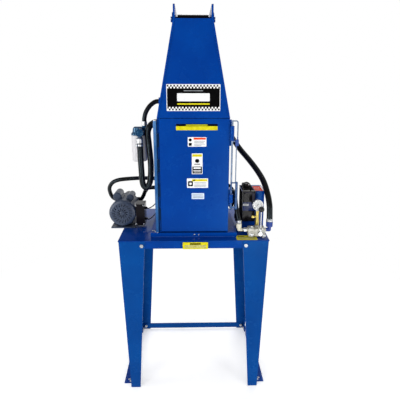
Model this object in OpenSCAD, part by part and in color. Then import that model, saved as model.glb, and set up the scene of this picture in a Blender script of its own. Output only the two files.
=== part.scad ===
/* [Stand] */
// Width of the table top
table_w = 870; // [700:10:1100]
// Depth of the table top
table_d = 660; // [620:10:900]
// Height of the table's working face above the floor
table_h = 990; // [800:10:1200]
// Thickness of the folded table and leg sheet
sheet_t = 5; // [4:0.5:8]
// Height of the table's folded skirt
skirt_h = 50; // [40:1:90]
// How far the table top stands out over the legs
table_lip = 3; // [1:1:10]
// Width of each leg's flange under the table
leg_top_w = 150; // [110:5:200]
// Width of each leg's flange at the floor
leg_foot_w = 58; // [45:1:90]
// How far each leg leans in at the floor
leg_lean = 33; // [0:1:60]
// Width of the floor flange of a skid
skid_w = 50; // [40:1:80]
// Height of the upright flange of a skid
skid_h = 40; // [30:1:60]
// Distance from the table's front edge to the skid's end
skid_setback = 39; // [20:1:45]
// Distance from the skid's end to its anchor hole
anchor_inset = 36; // [20:1:60]
// Diameter of the floor anchor holes
anchor_hole_d = 14; // [10:0.5:18]
// Height of the rear crossbar
crossbar_h = 40; // [30:1:60]
// Thickness of the rear crossbar
crossbar_t = 6; // [4:0.5:10]
// Height of the rear crossbar's lower edge above the floor
crossbar_z = 10; // [5:1:200]
// Width across the flats of the stand's bolt heads
bolt_af = 19; // [13:1:22]
// Distance from the table's middle to the front bolts
table_bolt_x = 300; // [295:1:310]

/* [Crush chamber] */
// Width of the base plate
base_w = 506; // [470:1:560]
// Depth of the base plate
base_d = 400; // [390:1:430]
// Thickness of the base plate
base_t = 25; // [15:1:40]
// Distance from the table's front edge to the base plate
base_setback = 66; // [50:1:80]
// Outside width of the crush chamber
chamber_w = 402; // [380:1:440]
// Depth of the chamber's side plates
chamber_d = 360; // [340:1:380]
// Height of the chamber above the base plate
chamber_h = 659; // [640:1:720]
// Thickness of the side plates
plate_t = 10; // [8:0.5:14]
// Thickness of the back and hood sheets
hood_sheet_t = 6; // [4:0.5:8]
// Thickness of the door
door_t = 10; // [8:0.5:14]
// Diameter of the drain hole through base and table
drain_d = 44; // [30:1:60]

/* [Hood] */
// Height of the hood above the chamber
hood_h = 504; // [485:1:560]
// Width across the hood's ears
hood_top_w = 208; // [200:1:230]
// Height of the ears above the hood's front sheet
ear_h = 68; // [60:1:90]
// Diameter of the boss on each ear
ear_boss_d = 76; // [56:1:80]
// Length that each boss stands out of its ear
ear_boss_l = 12; // [10:1:30]
// Height of the pin's axis above the hood's front sheet
pin_rise = 24; // [20:1:30]
// Diameter of the cylinder's top pin
pin_d = 30; // [24:1:34]

/* [Cylinder] */
// Bore of the hydraulic cylinder
bore_d = 127; // [100:1:130]
// Wall thickness of the barrel
barrel_wall = 11; // [8:0.5:14]
// Diameter of the piston rod
rod_d = 70; // [50:1:80]
// Stroke of the ram
stroke = 450; // [380:1:460]
// Width of the crush platen
platen_w = 366; // [300:1:370]
// Thickness of the crush platen
platen_t = 30; // [20:1:40]

/* [Door and latch] */
// Diameter of the hinge barrel
hinge_d = 20; // [16:1:22]
// Diameter of the hinge pin
hinge_pin_d = 10; // [8:0.5:12]
// Number of hinge knuckles
knuckles = 9; // [3:2:13]
// Diameter of the latch's pivot rod
latch_rod_d = 10; // [8:0.5:12]
// Diameter of the latch's bent wire
latch_wire_d = 7; // [5:0.5:8]
// Diameter of the latch's grip
grip_d = 15; // [12:1:18]
// Length of the latch's grip
grip_l = 144; // [110:2:150]
// Reach of the latch's grip from its pivot
grip_reach = 30; // [26:1:40]

/* [Motor and pump] */
// Diameter of the motor's frame
motor_d = 156; // [140:1:160]
// Length of the motor's frame between its end bells
motor_l = 170; // [150:5:200]
// Diameter of the fan cover
fan_cover_d = 165; // [162:1:172]
// Depth of the fan cover
fan_cover_l = 46; // [40:1:60]
// Height of the motor's axis above its mounting plate
shaft_h = 90; // [88:1:100]
// Distance of the motor's axis from the machine's middle
motor_x = 440; // [430:5:460]
// Distance from the table's front edge to the fan cover
motor_setback = 222; // [200:1:240]
// Diameter of the motor's shaft
shaft_d = 16; // [14:1:20]
// Diameter of the starting capacitor's cover
start_cap_d = 52; // [46:1:56]
// Diameter of the running capacitor's cover
run_cap_d = 44; // [38:1:48]
// Module of the pump's gear teeth
gear_module = 3; // [2.5:0.25:3]
// Number of teeth on each pump gear
gear_teeth = 12; // [10:1:14]
// Width of the pump gears
gear_w = 24; // [16:1:30]

/* [Tank, valve and gauge] */
// Width of the oil tank
tank_w = 132; // [120:2:140]
// Depth of the oil tank
tank_d = 160; // [150:5:220]
// Height of the oil tank
tank_h = 240; // [220:2:280]
// Wall of the oil tank
tank_wall = 3; // [2:0.5:4]
// Width of the valve body
valve_w = 96; // [90:2:110]
// Height of the valve body
valve_h = 44; // [40:1:50]
// Diameter of the valve's spool
spool_d = 16; // [12:1:18]
// Length of the valve's lever
lever_l = 118; // [100:1:130]
// Diameter of the lever's ball knob
knob_d = 34; // [28:1:38]
// Diameter of the pressure gauge
gauge_d = 63; // [58:1:66]

/* [Return filter and hoses] */
// Diameter of the filter can
can_d = 88; // [80:1:92]
// Height of the filter can
can_h = 156; // [130:1:170]
// Outside diameter of the large hoses
hose_d = 36; // [30:1:40]
// Outside diameter of the pressure hoses
small_hose_d = 27; // [24:1:28]

/* [Hidden] */
$fn = 48;
front_y = -table_d / 2;
base_y = front_y + base_setback;
door_y = base_y + 4;
wall_y = door_y + door_t + 0.3;
wall_rear = wall_y + chamber_d;
cyl_y = wall_y + chamber_d / 2;
base_top = table_h + base_t;
chamber_top = base_top + chamber_h;
hood_top = chamber_top + hood_h;
ear_top = hood_top + ear_h;
pin_z = hood_top + pin_rise;
leg_h = table_h - sheet_t;
leg_x = table_w / 2 - table_lip;
leg_y = table_d / 2 - table_lip;
foot_x = leg_x - leg_lean;
skirt_x = leg_x - sheet_t - leg_lean * skirt_h / leg_h;
skirt_y = leg_y - sheet_t;
bolt_d = 12;
bolt_hole_d = bolt_d + 1;
head_t = 8;
table_bolt_z = table_h - 30;
skid_bolt_y = leg_y - leg_foot_w / 2 - 9;
skid_bolt_z = 24;
skid_bolt_play = leg_lean * (skid_bolt_z + 12) / leg_h;
cross_bolt_x = foot_x - leg_foot_w / 2 + 3;
cross_bolt_z = crossbar_z + crossbar_h / 2;
anchor_x = foot_x + skid_w / 2;
anchor_y = table_d / 2 - skid_setback - anchor_inset;

guide_t = 10;
cross_tube_d = pin_d + 20;
cross_tube_l = hood_top_w - 2 * plate_t - 16;
clip_d = 5;
barrel_d = bore_d + 2 * barrel_wall;
cap_t = 28;
cap_z = pin_z - 18 - cap_t;
gland_t = 22;
spigot_l = 30;
piston_t = 50;
port_gap = 24;
barrel_l = stroke + piston_t + spigot_l + port_gap + 16;
barrel_z = cap_z - barrel_l;
piston_z = cap_z - port_gap - piston_t;
seal_t = 5;
seal_h = 8;
parked_gap = 36;
rod_flange_d = 110;
rod_flange_t = 18;
platen_z = barrel_z - gland_t - parked_gap - rod_flange_t - platen_t;
flange_bolt_r = rod_flange_d / 2 - 11;
port_d = 16;
port_boss_d = hose_d + 8;
socket_l = 10;
port_reach = barrel_d / 2 + 22;
port_hole_d = 60;
upper_port_z = cap_z - 14;
lower_port_z = barrel_z + spigot_l + 14;
door_half = chamber_w / 2 - 1;
hinge_gap = 11;
door_left = hinge_gap - door_half;
door_z = base_top + 8;
door_h = chamber_top - door_z - 2;
hinge_x = -chamber_w / 2 - hinge_d / 2 - 1;
hinge_y = door_y + 4;
hinge_z = door_z - 4;
hinge_h = door_h - 8;
knuckle_h = hinge_h / knuckles;
latch_x = chamber_w / 2 + 12;
latch_drop = 13;
bail_h = 111;
link_h = 234;
upper_bracket_h = 142;
upper_sleeve_h = 80;
lower_bracket_h = 100;
lower_sleeve_h = 50;
lower_bracket_drop = 500;
lower_bracket_z = chamber_top - lower_bracket_drop;
platen_d = chamber_d - hood_sheet_t - 16;
latch_y = door_y - 10;
motor_plate_t = 8;
axis_x = -motor_x;
axis_z = table_h + motor_plate_t + shaft_h;
fan_y = front_y + motor_setback;
frame_y = fan_y + fan_cover_l;
bell_y = frame_y + motor_l;
bell_l = 32;
pump_y = bell_y + bell_l;
pump_cover_t = 14;
pitch_r = gear_module * gear_teeth / 2;
gear_centres = 2 * pitch_r;
gear_tip_r = pitch_r + 0.9 * gear_module;
gear_root_r = pitch_r - 1.2 * gear_module;
idler_d = 12;
idler_z = axis_z + gear_centres;
pump_lobe_r = gear_tip_r + 13;
pump_l = 2 * pump_cover_t + gear_w;
pump_mid_y = pump_y + pump_l / 2;
pump_port_z = axis_z + pitch_r;
tank_x = base_w / 2 + 46;
tank_y = front_y + 200;
tank_top = table_h + tank_h;
suction_y = tank_y + tank_d - 50;
suction_z = table_h + 24;
box_x0 = tank_x - 2;
box_w = 76;
box_d = 24;
box_h = 190;
valve_x = tank_x + 69;
valve_y = front_y + 52;
valve_d = 64;
valve_foot = 6;
valve_z = table_h + valve_foot;
valve_top = valve_z + valve_h;
valve_port_z = valve_z + 31;
elbow_x = valve_x + valve_w / 2 + 30;
spool_x = valve_x + 20;
spool_z = valve_z + 20;
lever_y = valve_y - 12;
lever_arm = 22;
lever_z = spool_z + 7.6 + lever_arm;
gauge_x = valve_x + 8;
gauge_y = valve_y + 52;
gauge_z = valve_top + 134;
gauge_l = 26;
filter_x = -320;
filter_y = front_y + 230;
can_drop = 261;
can_z = chamber_top - can_drop;
head_z = can_z + can_h;
head_h = 42;
filter_port_y = filter_y - 52;
filter_port_x = filter_x + 12;
filter_outlet_x = filter_x + 34;
loop_hole_y = filter_y - 8;
loop_hole_z = chamber_top - 35;
arc_x = 9 - chamber_w / 2;
arc_y = filter_y + 16;
arc_z = chamber_top + 86;
// Hose routes, from the table's front edge and top; those of the filter from the chamber's top
suction_route = [[-506, 496, 116], [-516, 496, 116], [-527, 495.5, 117], [-548, 489, 134],
    [-559, 472, 170], [-556, 448, 210], [-532, 432, 246], [-490, 425, 266], [-425, 430, 273],
    [-350, 455, 272], [-290, 480, 266], [-200, 495, 258], [0, 500, 250], [150, 495, 242], [230, 470, 220],
    [268, 420, 180], [277, 360, 126], [278, 320, 90], [278, 310, 72], [278, 310, 62], [278, 310, 48]];
pressure_route = [[-374, 496, 116], [-364, 496, 116], [-354, 495.5, 118], [-338, 492, 144],
    [-322, 488, 178], [-284, 484, 200], [-100, 480, 196], [90, 480, 190], [186, 468, 178],
    [224, 430, 160], [232, 360, 136], [236, 300, 124], [237, 262, 132], [237, 240, 166],
    [238, 222, 214], [240, 196, 242], [243, 166, 244], [246, 140, 220], [249, 120, 184],
    [254, 103, 146], [262, 90, 110], [267, 83, 86], [267, 82, 70], [267, 82, 59]];
loop_route = [[-308, 164, -127], [-308, 164, -146], [-308, 164, -166], [-307, 164, -234], [-305, 166, -304],
    [-303, 169, -362], [-298, 173, -394], [-284, 176, -410], [-267, 179, -396], [-256, 180, -362],
    [-251, 180, -294], [-253, 180, -224], [-259, 178, -144], [-262, 179, -84], [-246, 186, -46],
    [-216, 210, -30], [-180, 236, -35], [-140, 257, -43], [-118, 260.3, -44], [-102, 260.3, -44],
    [-87, 260.3, -44]];
arc_route = [[-286, 230, -41], [-286, 230, -24], [-285, 230.5, -8], [-276, 233, 24], [-256, 238, 56],
    [-234, 243, 76], [-216, 246, 85], [-202, 246, 86], [-192, 246, 86], [-184, 246, 86]];
ram_route = [[446, 82, 69], [446, 82, 88], [446, 82.5, 110], [446, 90, 144], [446, 105, 182],
    [440, 140, 235], [424, 200, 300], [394, 270, 355], [352, 340, 410], [300, 410, 470], [252, 458, 540],
    [196, 488, 630], [130, 506, 750], [70, 512, 890], [24, 508, 1020], [4, 490, 1094], [0, 454, 1140],
    [0, 410, 1152], [0, 374, 1152], [0, 358, 1152], [0, 347, 1152]];
lead_a_route = [[-300, 270, 120], [-286, 278, 114], [-262, 300, 120], [-238, 340, 136], [-226, 390, 150]];
lead_b_route = [[-300, 270, 50], [-284, 280, 42], [-262, 310, 50], [-240, 360, 66], [-226, 410, 80]];
box_lead_route = [[300, 190, 250], [294, 192, 272], [302, 198, 290], [322, 206, 296], [340, 212, 284],
    [348, 218, 266], [350, 222, 246]];

blue = "#0b3f96";
zinc = "#c4c8cc";
navy = "#2b3a52";
black = "#15171a";
steel = "#9aa0a6";
brass = "#b8963e";

// Outline in X and Z carried along Y
module along_y(y0, len) {
    translate([0, y0 + len, 0]) rotate([90, 0, 0]) linear_extrude(len) children();
}

// Outline in Y and Z carried along X
module along_x(x0, len) {
    translate([x0, 0, 0]) rotate([90, 0, 90]) linear_extrude(len) children();
}

// Round bar from one point along X, Y or Z
module bar_x(x, y, z, d, len) {
    translate([x, y, z]) rotate([0, 90, 0]) cylinder(d = d, h = len);
}

module bar_y(x, y, z, d, len) {
    translate([x, y, z]) rotate([-90, 0, 0]) cylinder(d = d, h = len);
}

module bar_z(x, y, z, d, len) {
    translate([x, y, z]) cylinder(d = d, h = len);
}

// Hex bolt with its nut, head at the origin and shank along +Z through a stack of the given grip
module hex_bolt(grip, d = bolt_d, af = bolt_af) {
    translate([0, 0, -head_t]) cylinder(d = af / cos(30), h = head_t, $fn = 6);
    cylinder(d = d, h = grip + head_t + 4, $fn = 24);
    translate([0, 0, grip]) cylinder(d = af / cos(30), h = head_t, $fn = 6);
}

// Both X sides, or both Y sides, of a symmetric set
module both_x() {
    children();
    mirror([1, 0, 0]) children();
}

module both_y() {
    children();
    mirror([0, 1, 0]) children();
}

// Clearance holes that the stand's bolts pass through, near the right rear corner
module table_bolt_hole() {
    bar_y(table_bolt_x, leg_y - 30, table_bolt_z, bolt_hole_d, 60);
}

module skid_bolt_hole() {
    bar_x(foot_x - 30, skid_bolt_y, skid_bolt_z, bolt_hole_d, 60);
}

module cross_bolt_hole() {
    bar_y(cross_bolt_x, leg_y - 30, cross_bolt_z, bolt_hole_d, 60);
}

// Points on a smooth curve through a list of hand-chosen points
function curve_point(a, b, c, d, t) =
    0.5 * (2 * b + (c - a) * t + (2 * a - 5 * b + 4 * c - d) * t * t + (3 * b - a - 3 * c + d) * t * t * t);

function smooth_route(p, steps) = let (last = len(p) - 1) concat(
    [for (i = [0:last - 1]) for (j = [0:steps - 1])
        curve_point(p[max(i - 1, 0)], p[i], p[i + 1], p[min(i + 2, last)], j / steps)],
    [p[last]]);

function unit(v) = v / norm(v);

function tangents(p) = [for (i = [0:len(p) - 1]) unit(p[min(i + 1, len(p) - 1)] - p[max(i - 1, 0)])];

// Side directions carried along a route without twist
function carried_sides(t, i, side) =
    i == len(t) ? [] : let (s = unit(side - (side * t[i]) * t[i])) concat([s], carried_sides(t, i + 1, s));

// Round hose swept along a route
module hose(points, d, steps = 4, sides = 10, from = table_h) {
    route = [for (p = smooth_route(points, steps)) p + [0, front_y, from]];
    t = tangents(route);
    start = abs(t[0][2]) < 0.9 ? [0, 0, 1] : [1, 0, 0];
    u = carried_sides(t, 0, start);
    rings = len(route);
    verts = [for (i = [0:rings - 1]) for (k = [0:sides - 1])
        let (a = 360 * k / sides) route[i] + d / 2 * (cos(a) * u[i] + sin(a) * cross(t[i], u[i]))];
    walls = [for (i = [0:rings - 2]) for (k = [0:sides - 1])
        let (n = (k + 1) % sides)
            [i * sides + k, i * sides + sides + k, i * sides + sides + n, i * sides + n]];
    ends = [[for (k = [0:sides - 1]) k], [for (k = [sides - 1:-1:0]) (rings - 1) * sides + k]];
    polyhedron(points = verts, faces = concat(walls, ends), convexity = 10);
}

module table_top() {
    color(blue) difference() {
        union() {
            translate([-table_w / 2, -table_d / 2, table_h - sheet_t]) cube([table_w, table_d, sheet_t]);
            translate([-skirt_x, -skirt_y, table_h - skirt_h]) cube([2 * skirt_x, 2 * skirt_y, skirt_h]);
        }
        translate([sheet_t - skirt_x, sheet_t - skirt_y, table_h - skirt_h - 1])
            cube([2 * (skirt_x - sheet_t), 2 * (skirt_y - sheet_t), skirt_h - sheet_t + 1]);
        bar_z(0, cyl_y, table_h - sheet_t - 1, drain_d, sheet_t + 2);
        both_x() both_y() table_bolt_hole();
    }
}

// Right rear leg: an angle whose two flanges taper towards the floor
module leg() {
    difference() {
        union() {
            along_y(leg_y - sheet_t, sheet_t)
                polygon([[foot_x, 0], [leg_x, leg_h], [leg_x - leg_top_w, leg_h], [foot_x - leg_foot_w, 0]]);
            intersection() {
                along_y(leg_y - leg_top_w, leg_top_w)
                    polygon([[foot_x, 0], [leg_x, leg_h], [leg_x - sheet_t, leg_h], [foot_x - sheet_t, 0]]);
                along_x(foot_x - 2 * sheet_t, leg_lean + 4 * sheet_t)
                    polygon([[leg_y, 0], [leg_y, leg_h],
                        [leg_y - leg_top_w, leg_h], [leg_y - leg_foot_w, 0]]);
            }
        }
        table_bolt_hole();
        skid_bolt_hole();
    }
}

module leg_front_left() {
    color(blue) mirror([1, 0, 0]) mirror([0, 1, 0]) leg();
}

module leg_front_right() {
    color(blue) mirror([0, 1, 0]) leg();
}

module rear_leg() {
    difference() {
        leg();
        cross_bolt_hole();
    }
}

module leg_rear_left() {
    color(blue) mirror([1, 0, 0]) rear_leg();
}

module leg_rear_right() {
    color(blue) rear_leg();
}

// Angle along the floor, outside the right legs
module skid() {
    lean_at_skid = leg_lean * skid_h / leg_h;
    difference() {
        along_y(skid_setback - table_d / 2, table_d - 2 * skid_setback)
            polygon([[foot_x, 0], [foot_x + skid_w, 0], [foot_x + skid_w, sheet_t],
                [foot_x + sheet_t + leg_lean * sheet_t / leg_h, sheet_t],
                [foot_x + sheet_t + lean_at_skid, skid_h], [foot_x + lean_at_skid, skid_h]]);
        both_y() skid_bolt_hole();
        both_y() bar_z(anchor_x, anchor_y, -1, anchor_hole_d, sheet_t + 2);
    }
}

module skid_left() {
    color(blue) mirror([1, 0, 0]) skid();
}

module skid_right() {
    color(blue) skid();
}

module rear_crossbar() {
    bar_half = foot_x - sheet_t - 6;
    color(blue) difference() {
        translate([-bar_half, leg_y - sheet_t - crossbar_t, crossbar_z])
            cube([2 * bar_half, crossbar_t, crossbar_h]);
        both_x() cross_bolt_hole();
    }
}

// Stand bolts, and the spring clip through each end of the top pin
module fasteners() {
    clip_x = hood_top_w / 2 + ear_boss_l + 4;
    color(zinc) {
        both_x() both_y() translate([table_bolt_x, leg_y, table_bolt_z])
            rotate([90, 0, 0]) hex_bolt(2 * sheet_t);
        both_x() both_y() translate([foot_x + sheet_t + skid_bolt_play, skid_bolt_y, skid_bolt_z])
            rotate([0, -90, 0]) hex_bolt(2 * sheet_t + leg_lean * 24 / leg_h);
        both_x() translate([cross_bolt_x, leg_y, cross_bolt_z])
            rotate([90, 0, 0]) hex_bolt(sheet_t + crossbar_t);
        both_x() bar_y(clip_x, cyl_y - pin_d / 2 - 9, pin_z, clip_d - 0.2, pin_d + 18);
        both_x() translate([clip_x, cyl_y - pin_d / 2 - 9, pin_z]) sphere(d = clip_d + 3);
    }
}

module base_plate() {
    groove = 6;
    groove_edge = 40;
    color(blue) difference() {
        translate([-base_w / 2, base_y, table_h]) cube([base_w, base_d, base_t]);
        bar_z(0, cyl_y, table_h - 1, drain_d, base_t + 2);
        translate([-platen_w / 2, cyl_y - groove / 2, base_top - groove])
            cube([platen_w, groove, groove + 1]);
        translate([-groove / 2, base_y + groove_edge, base_top - groove])
            cube([groove, wall_rear - base_y - 2 * groove_edge, groove + 1]);
    }
}

module drain_spout() {
    color(blue) difference() {
        union() {
            bar_z(0, cyl_y, table_h - sheet_t - 8, drain_d + 50, 8);
            bar_z(0, cyl_y, table_h - 100, drain_d + 8, 100 - sheet_t);
        }
        bar_z(0, cyl_y, table_h - 101, drain_d, 110);
    }
}

// Right side plate: upright beside the chamber, leaning in beside the hood, upright again as the ear
module side_plate() {
    low = chamber_w / 2;
    high = hood_top_w / 2;
    difference() {
        union() {
            intersection() {
                along_y(door_y, wall_rear - door_y)
                    polygon([[low, base_top], [low, chamber_top], [high, hood_top], [high, ear_top],
                        [high - plate_t, ear_top], [high - plate_t, hood_top], [low - plate_t, chamber_top],
                        [low - plate_t, base_top]]);
                along_x(0, chamber_w)
                    polygon([[wall_y, base_top], [wall_rear, base_top], [wall_rear, ear_top - 10],
                        [wall_rear - 10, ear_top], [door_y + 6, ear_top], [door_y, ear_top - 6],
                        [door_y, chamber_top + 1], [wall_y, chamber_top + 1]]);
            }
            bar_x(high - 1, cyl_y, pin_z, ear_boss_d, ear_boss_l + 1);
        }
        bar_x(high - plate_t - 1, cyl_y, pin_z, pin_d + 0.2, plate_t + ear_boss_l + 2);
    }
}

// The left one also passes the hose to the lower port and holds the arc hose's bulkhead ring
module side_plate_left() {
    color(blue) difference() {
        union() {
            mirror([1, 0, 0]) side_plate();
            bar_x(arc_x - 8, arc_y, arc_z, small_hose_d + 18, 22);
        }
        bar_x(arc_x - 9, arc_y, arc_z, small_hose_d + 0.4, 40);
        bar_x(-chamber_w / 2 - 1, loop_hole_y, loop_hole_z, port_hole_d, plate_t + 2);
    }
}

module side_plate_right() {
    color(blue) side_plate();
}

module back_plate() {
    low = chamber_w / 2 - plate_t;
    high = hood_top_w / 2 - plate_t;
    color(blue) difference() {
        along_y(wall_rear - hood_sheet_t, hood_sheet_t)
            polygon([[-low, base_top], [low, base_top], [low, chamber_top], [high, hood_top],
                [-high, hood_top], [-low, chamber_top]]);
        bar_y(0, wall_rear - hood_sheet_t - 1, upper_port_z, port_hole_d, hood_sheet_t + 2);
    }
}

module hood_front() {
    low = chamber_w / 2 - plate_t;
    high = hood_top_w / 2 - plate_t;
    foot = low - (low - high) / hood_h;
    color(blue) along_y(door_y + 3, hood_sheet_t)
        polygon([[-foot, chamber_top + 1], [foot, chamber_top + 1], [high, hood_top], [-high, hood_top]]);
}

module guide_plate() {
    low = chamber_w / 2 - plate_t;
    depth = wall_rear - hood_sheet_t - wall_y;
    color(blue) difference() {
        along_y(wall_y, depth)
            polygon([[-low, chamber_top - guide_t], [low, chamber_top - guide_t], [low, chamber_top],
                [-low, chamber_top]]);
        bar_z(0, cyl_y, chamber_top - guide_t - 1, barrel_d + 0.6, guide_t + 2);
    }
}

module top_pin() {
    half = hood_top_w / 2 + ear_boss_l + 8;
    color(zinc) difference() {
        bar_x(-half, cyl_y, pin_z, pin_d, 2 * half);
        both_x() bar_y(half - 4, cyl_y - pin_d, pin_z, clip_d, 2 * pin_d);
    }
}

// Barrel with its welded end cap, cross tube and two port bosses
module cylinder_barrel() {
    color(black) difference() {
        union() {
            bar_z(0, cyl_y, barrel_z, barrel_d, barrel_l);
            bar_z(0, cyl_y, cap_z, barrel_d, cap_t);
            bar_x(-cross_tube_l / 2, cyl_y, pin_z, cross_tube_d, cross_tube_l);
            bar_y(0, cyl_y, upper_port_z, port_boss_d, port_reach);
            bar_x(-port_reach, cyl_y, lower_port_z, port_boss_d, port_reach);
        }
        bar_z(0, cyl_y, barrel_z - 1, bore_d, barrel_l + 1);
        bar_x(-cross_tube_l, cyl_y, pin_z, pin_d + 0.2, 2 * cross_tube_l);
        bar_y(0, cyl_y, upper_port_z, port_d, port_reach + 1);
        bar_y(0, cyl_y + port_reach - socket_l - 0.3, upper_port_z, hose_d + 0.4, socket_l + 2);
        bar_x(-port_reach - 1, cyl_y, lower_port_z, port_d, port_reach);
        bar_x(-port_reach - 1, cyl_y, lower_port_z, hose_d + 0.4, socket_l + 1.3);
    }
}

module cylinder_gland() {
    color(black) difference() {
        union() {
            bar_z(0, cyl_y, barrel_z - gland_t, barrel_d, gland_t);
            bar_z(0, cyl_y, barrel_z - gland_t, bore_d - 0.4, gland_t + spigot_l);
        }
        bar_z(0, cyl_y, barrel_z - gland_t - 1, rod_d + 0.1, gland_t + spigot_l + 2);
        bar_z(0, cyl_y, barrel_z - gland_t - 1, rod_d + 2 * seal_t, seal_t + 1);
        for (i = [0:5]) translate([0, cyl_y, 0]) rotate([0, 0, 60 * i])
            bar_z(barrel_d / 2 - 14, 0, barrel_z - gland_t - 1, 8, 9);
    }
}

module piston() {
    color(steel) difference() {
        bar_z(0, cyl_y, piston_z, bore_d - 0.1, piston_t);
        bar_z(0, cyl_y, piston_z - 1, rod_d - 20, piston_t + 2);
        for (z = [piston_z + 12, piston_z + piston_t - 12 - seal_h])
            seal_ring(z, bore_d, seal_t, 0);
    }
}

// Square-section ring just inside the given diameter
module seal_ring(z, outer, thick, play) {
    translate([0, cyl_y, z + play]) rotate_extrude()
        translate([outer / 2 - thick, 0]) square([thick - play, seal_h - 2 * play]);
}

module piston_seals() {
    color(black) {
        for (z = [piston_z + 12, piston_z + piston_t - 12 - seal_h])
            seal_ring(z, bore_d - 0.1, seal_t - 0.2, 0.05);
    }
}

// Rod with its shoulder under the piston, threaded tail, nut and platen flange
module piston_rod() {
    tail_d = rod_d - 20.2;
    color(steel) {
        bar_z(0, cyl_y, platen_z + platen_t + rod_flange_t, rod_d,
            piston_z - platen_z - platen_t - rod_flange_t);
        bar_z(0, cyl_y, piston_z - 1, tail_d, piston_t + 1);
        difference() {
            bar_z(0, cyl_y, platen_z + platen_t, rod_flange_d, rod_flange_t);
            for (i = [0:3]) translate([0, cyl_y, 0]) rotate([0, 0, 45 + 90 * i])
                bar_z(flange_bolt_r, 0, platen_z + platen_t - 1, 9, rod_flange_t + 2);
        }
    }
}

// Platen with a rim of welded bars and its four flange screws
module crush_platen() {
    color(blue) {
        difference() {
            translate([-platen_w / 2, cyl_y - platen_d / 2 - hood_sheet_t / 2, platen_z])
                cube([platen_w, platen_d, platen_t]);
            for (x = [-2:2])
                translate([x * platen_w / 6 - 5, cyl_y - platen_d / 2 - hood_sheet_t / 2 - 1, platen_z - 1])
                cube([10, platen_d + 2, 5]);
        }
        for (i = [0:3]) translate([0, cyl_y, 0]) rotate([0, 0, 45 + 90 * i]) {
            bar_z(flange_bolt_r, 0, platen_z + platen_t - 1, 8, rod_flange_t + 1);
            translate([flange_bolt_r, 0, platen_z + platen_t + rod_flange_t])
                cylinder(d = 15, h = 6, $fn = 6);
        }
    }
}

// Door: a flat plate turned over at its free edge
module door_panel() {
    color(blue) union() {
        translate([door_left, door_y, door_z]) cube([door_half - door_left, door_t, door_h]);
        translate([60 - door_half, door_y + door_t - 1, door_z + 40])
            cube([2 * door_half - 120, 3, door_h - 80]);
    }
}

// One knuckle of the door's hinge
module knuckle(i) {
    bar_z(hinge_x, hinge_y, hinge_z + i * knuckle_h + 0.25, hinge_d, knuckle_h - 0.5);
}

module hinge_bore() {
    bar_z(hinge_x, hinge_y, hinge_z - 1, hinge_pin_d + 0.1, hinge_h + 2);
}

module door_hinge() {
    leaf_t = 6;
    color(blue) difference() {
        for (i = [1:2:knuckles - 2]) {
            knuckle(i);
            translate([hinge_x, door_y + door_t - leaf_t, hinge_z + i * knuckle_h + 0.25])
                cube([door_left - hinge_x, leaf_t, knuckle_h - 0.5]);
        }
        hinge_bore();
    }
}

module frame_hinge() {
    tab_t = 6;
    color(blue) difference() {
        for (i = [0:2:knuckles - 1]) {
            knuckle(i);
            translate([-chamber_w / 2 - tab_t, hinge_y + 4, hinge_z + i * knuckle_h + 0.25])
                cube([tab_t, 34, knuckle_h - 0.5]);
        }
        hinge_bore();
    }
}

module hinge_pin() {
    color(steel) {
        bar_z(hinge_x, hinge_y, hinge_z - 3, hinge_pin_d, hinge_h + 4);
        bar_z(hinge_x, hinge_y, hinge_z + hinge_h + 0.2, hinge_d - 4, 5);
        bar_z(hinge_x, hinge_y, hinge_z - 3.5, hinge_d - 4, 3.4);
    }
}

// Quarter bend in a round bar, from +X towards +Z about the origin's circle
module quarter_bend(bend_r, d) {
    rotate([90, 0, 0]) rotate_extrude(angle = 90) translate([bend_r, 0]) circle(d = d);
}

// Bent-bar latch: pivot rod, upper bail, straight link and grip
module latch_handle() {
    reach = grip_reach;
    top = chamber_top - latch_drop;
    bail_low = top - bail_h;
    link_low = bail_low - link_h;
    grip_low = link_low - grip_l - 6;
    bend_r = 10;
    color(blue) translate([latch_x, latch_y, 0]) {
        bar_z(0, 0, grip_low - 10, latch_rod_d, top - grip_low + 14);
        bar_x(0, 0, top, latch_wire_d, reach - bend_r);
        translate([reach - bend_r, 0, top - bend_r]) quarter_bend(bend_r, latch_wire_d);
        bar_z(reach, 0, bail_low, latch_wire_d, top - bend_r - bail_low);
        bar_x(0, 0, bail_low, latch_wire_d, reach);
        translate([reach - 12, -8, bail_low - 24]) cube([18, 16, 34]);
        bar_z(reach - 6, 0, link_low, latch_wire_d - 1, bail_low - link_low);
        bar_x(0, 0, link_low, latch_wire_d + 1, reach - 2);
        bar_z(reach, 0, grip_low, grip_d, link_low - grip_low);
        bar_x(0, 0, grip_low + 6, latch_wire_d + 4, reach);
        for (z = [grip_low, link_low]) translate([reach, 0, z]) sphere(d = grip_d);
    }
}

// Side bracket with a sleeve that carries the latch's pivot rod
module latch_bracket(plate_low, plate_top, sleeve_h) {
    sleeve_low = (plate_low + plate_top - sleeve_h) / 2;
    sleeve_top = sleeve_low + sleeve_h;
    difference() {
        union() {
            translate([chamber_w / 2, latch_y + 8, plate_low]) cube([12, 70, plate_top - plate_low]);
            bar_z(latch_x, latch_y, sleeve_low, latch_rod_d + 12, sleeve_top - sleeve_low);
        }
        bar_z(latch_x, latch_y, sleeve_low - 1, latch_rod_d + 0.1, sleeve_top - sleeve_low + 2);
        translate([latch_x - 14, latch_y - 14, plate_low - 1])
            cube([28, 28, sleeve_low - plate_low + 1]);
        translate([latch_x - 14, latch_y - 14, sleeve_top])
            cube([28, 28, plate_top - sleeve_top + 1]);
    }
}

module latch_brackets() {
    color(blue) {
        latch_bracket(chamber_top - 9 - upper_bracket_h, chamber_top - 9, upper_sleeve_h);
        latch_bracket(lower_bracket_z, lower_bracket_z + lower_bracket_h, lower_sleeve_h);
    }
}

// Round piece about the motor's axis, from a profile of radius and distance along the axis
module about_axis(y0) {
    translate([axis_x, y0, axis_z]) rotate([-90, 0, 0]) rotate_extrude($fn = 72) children();
}

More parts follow.
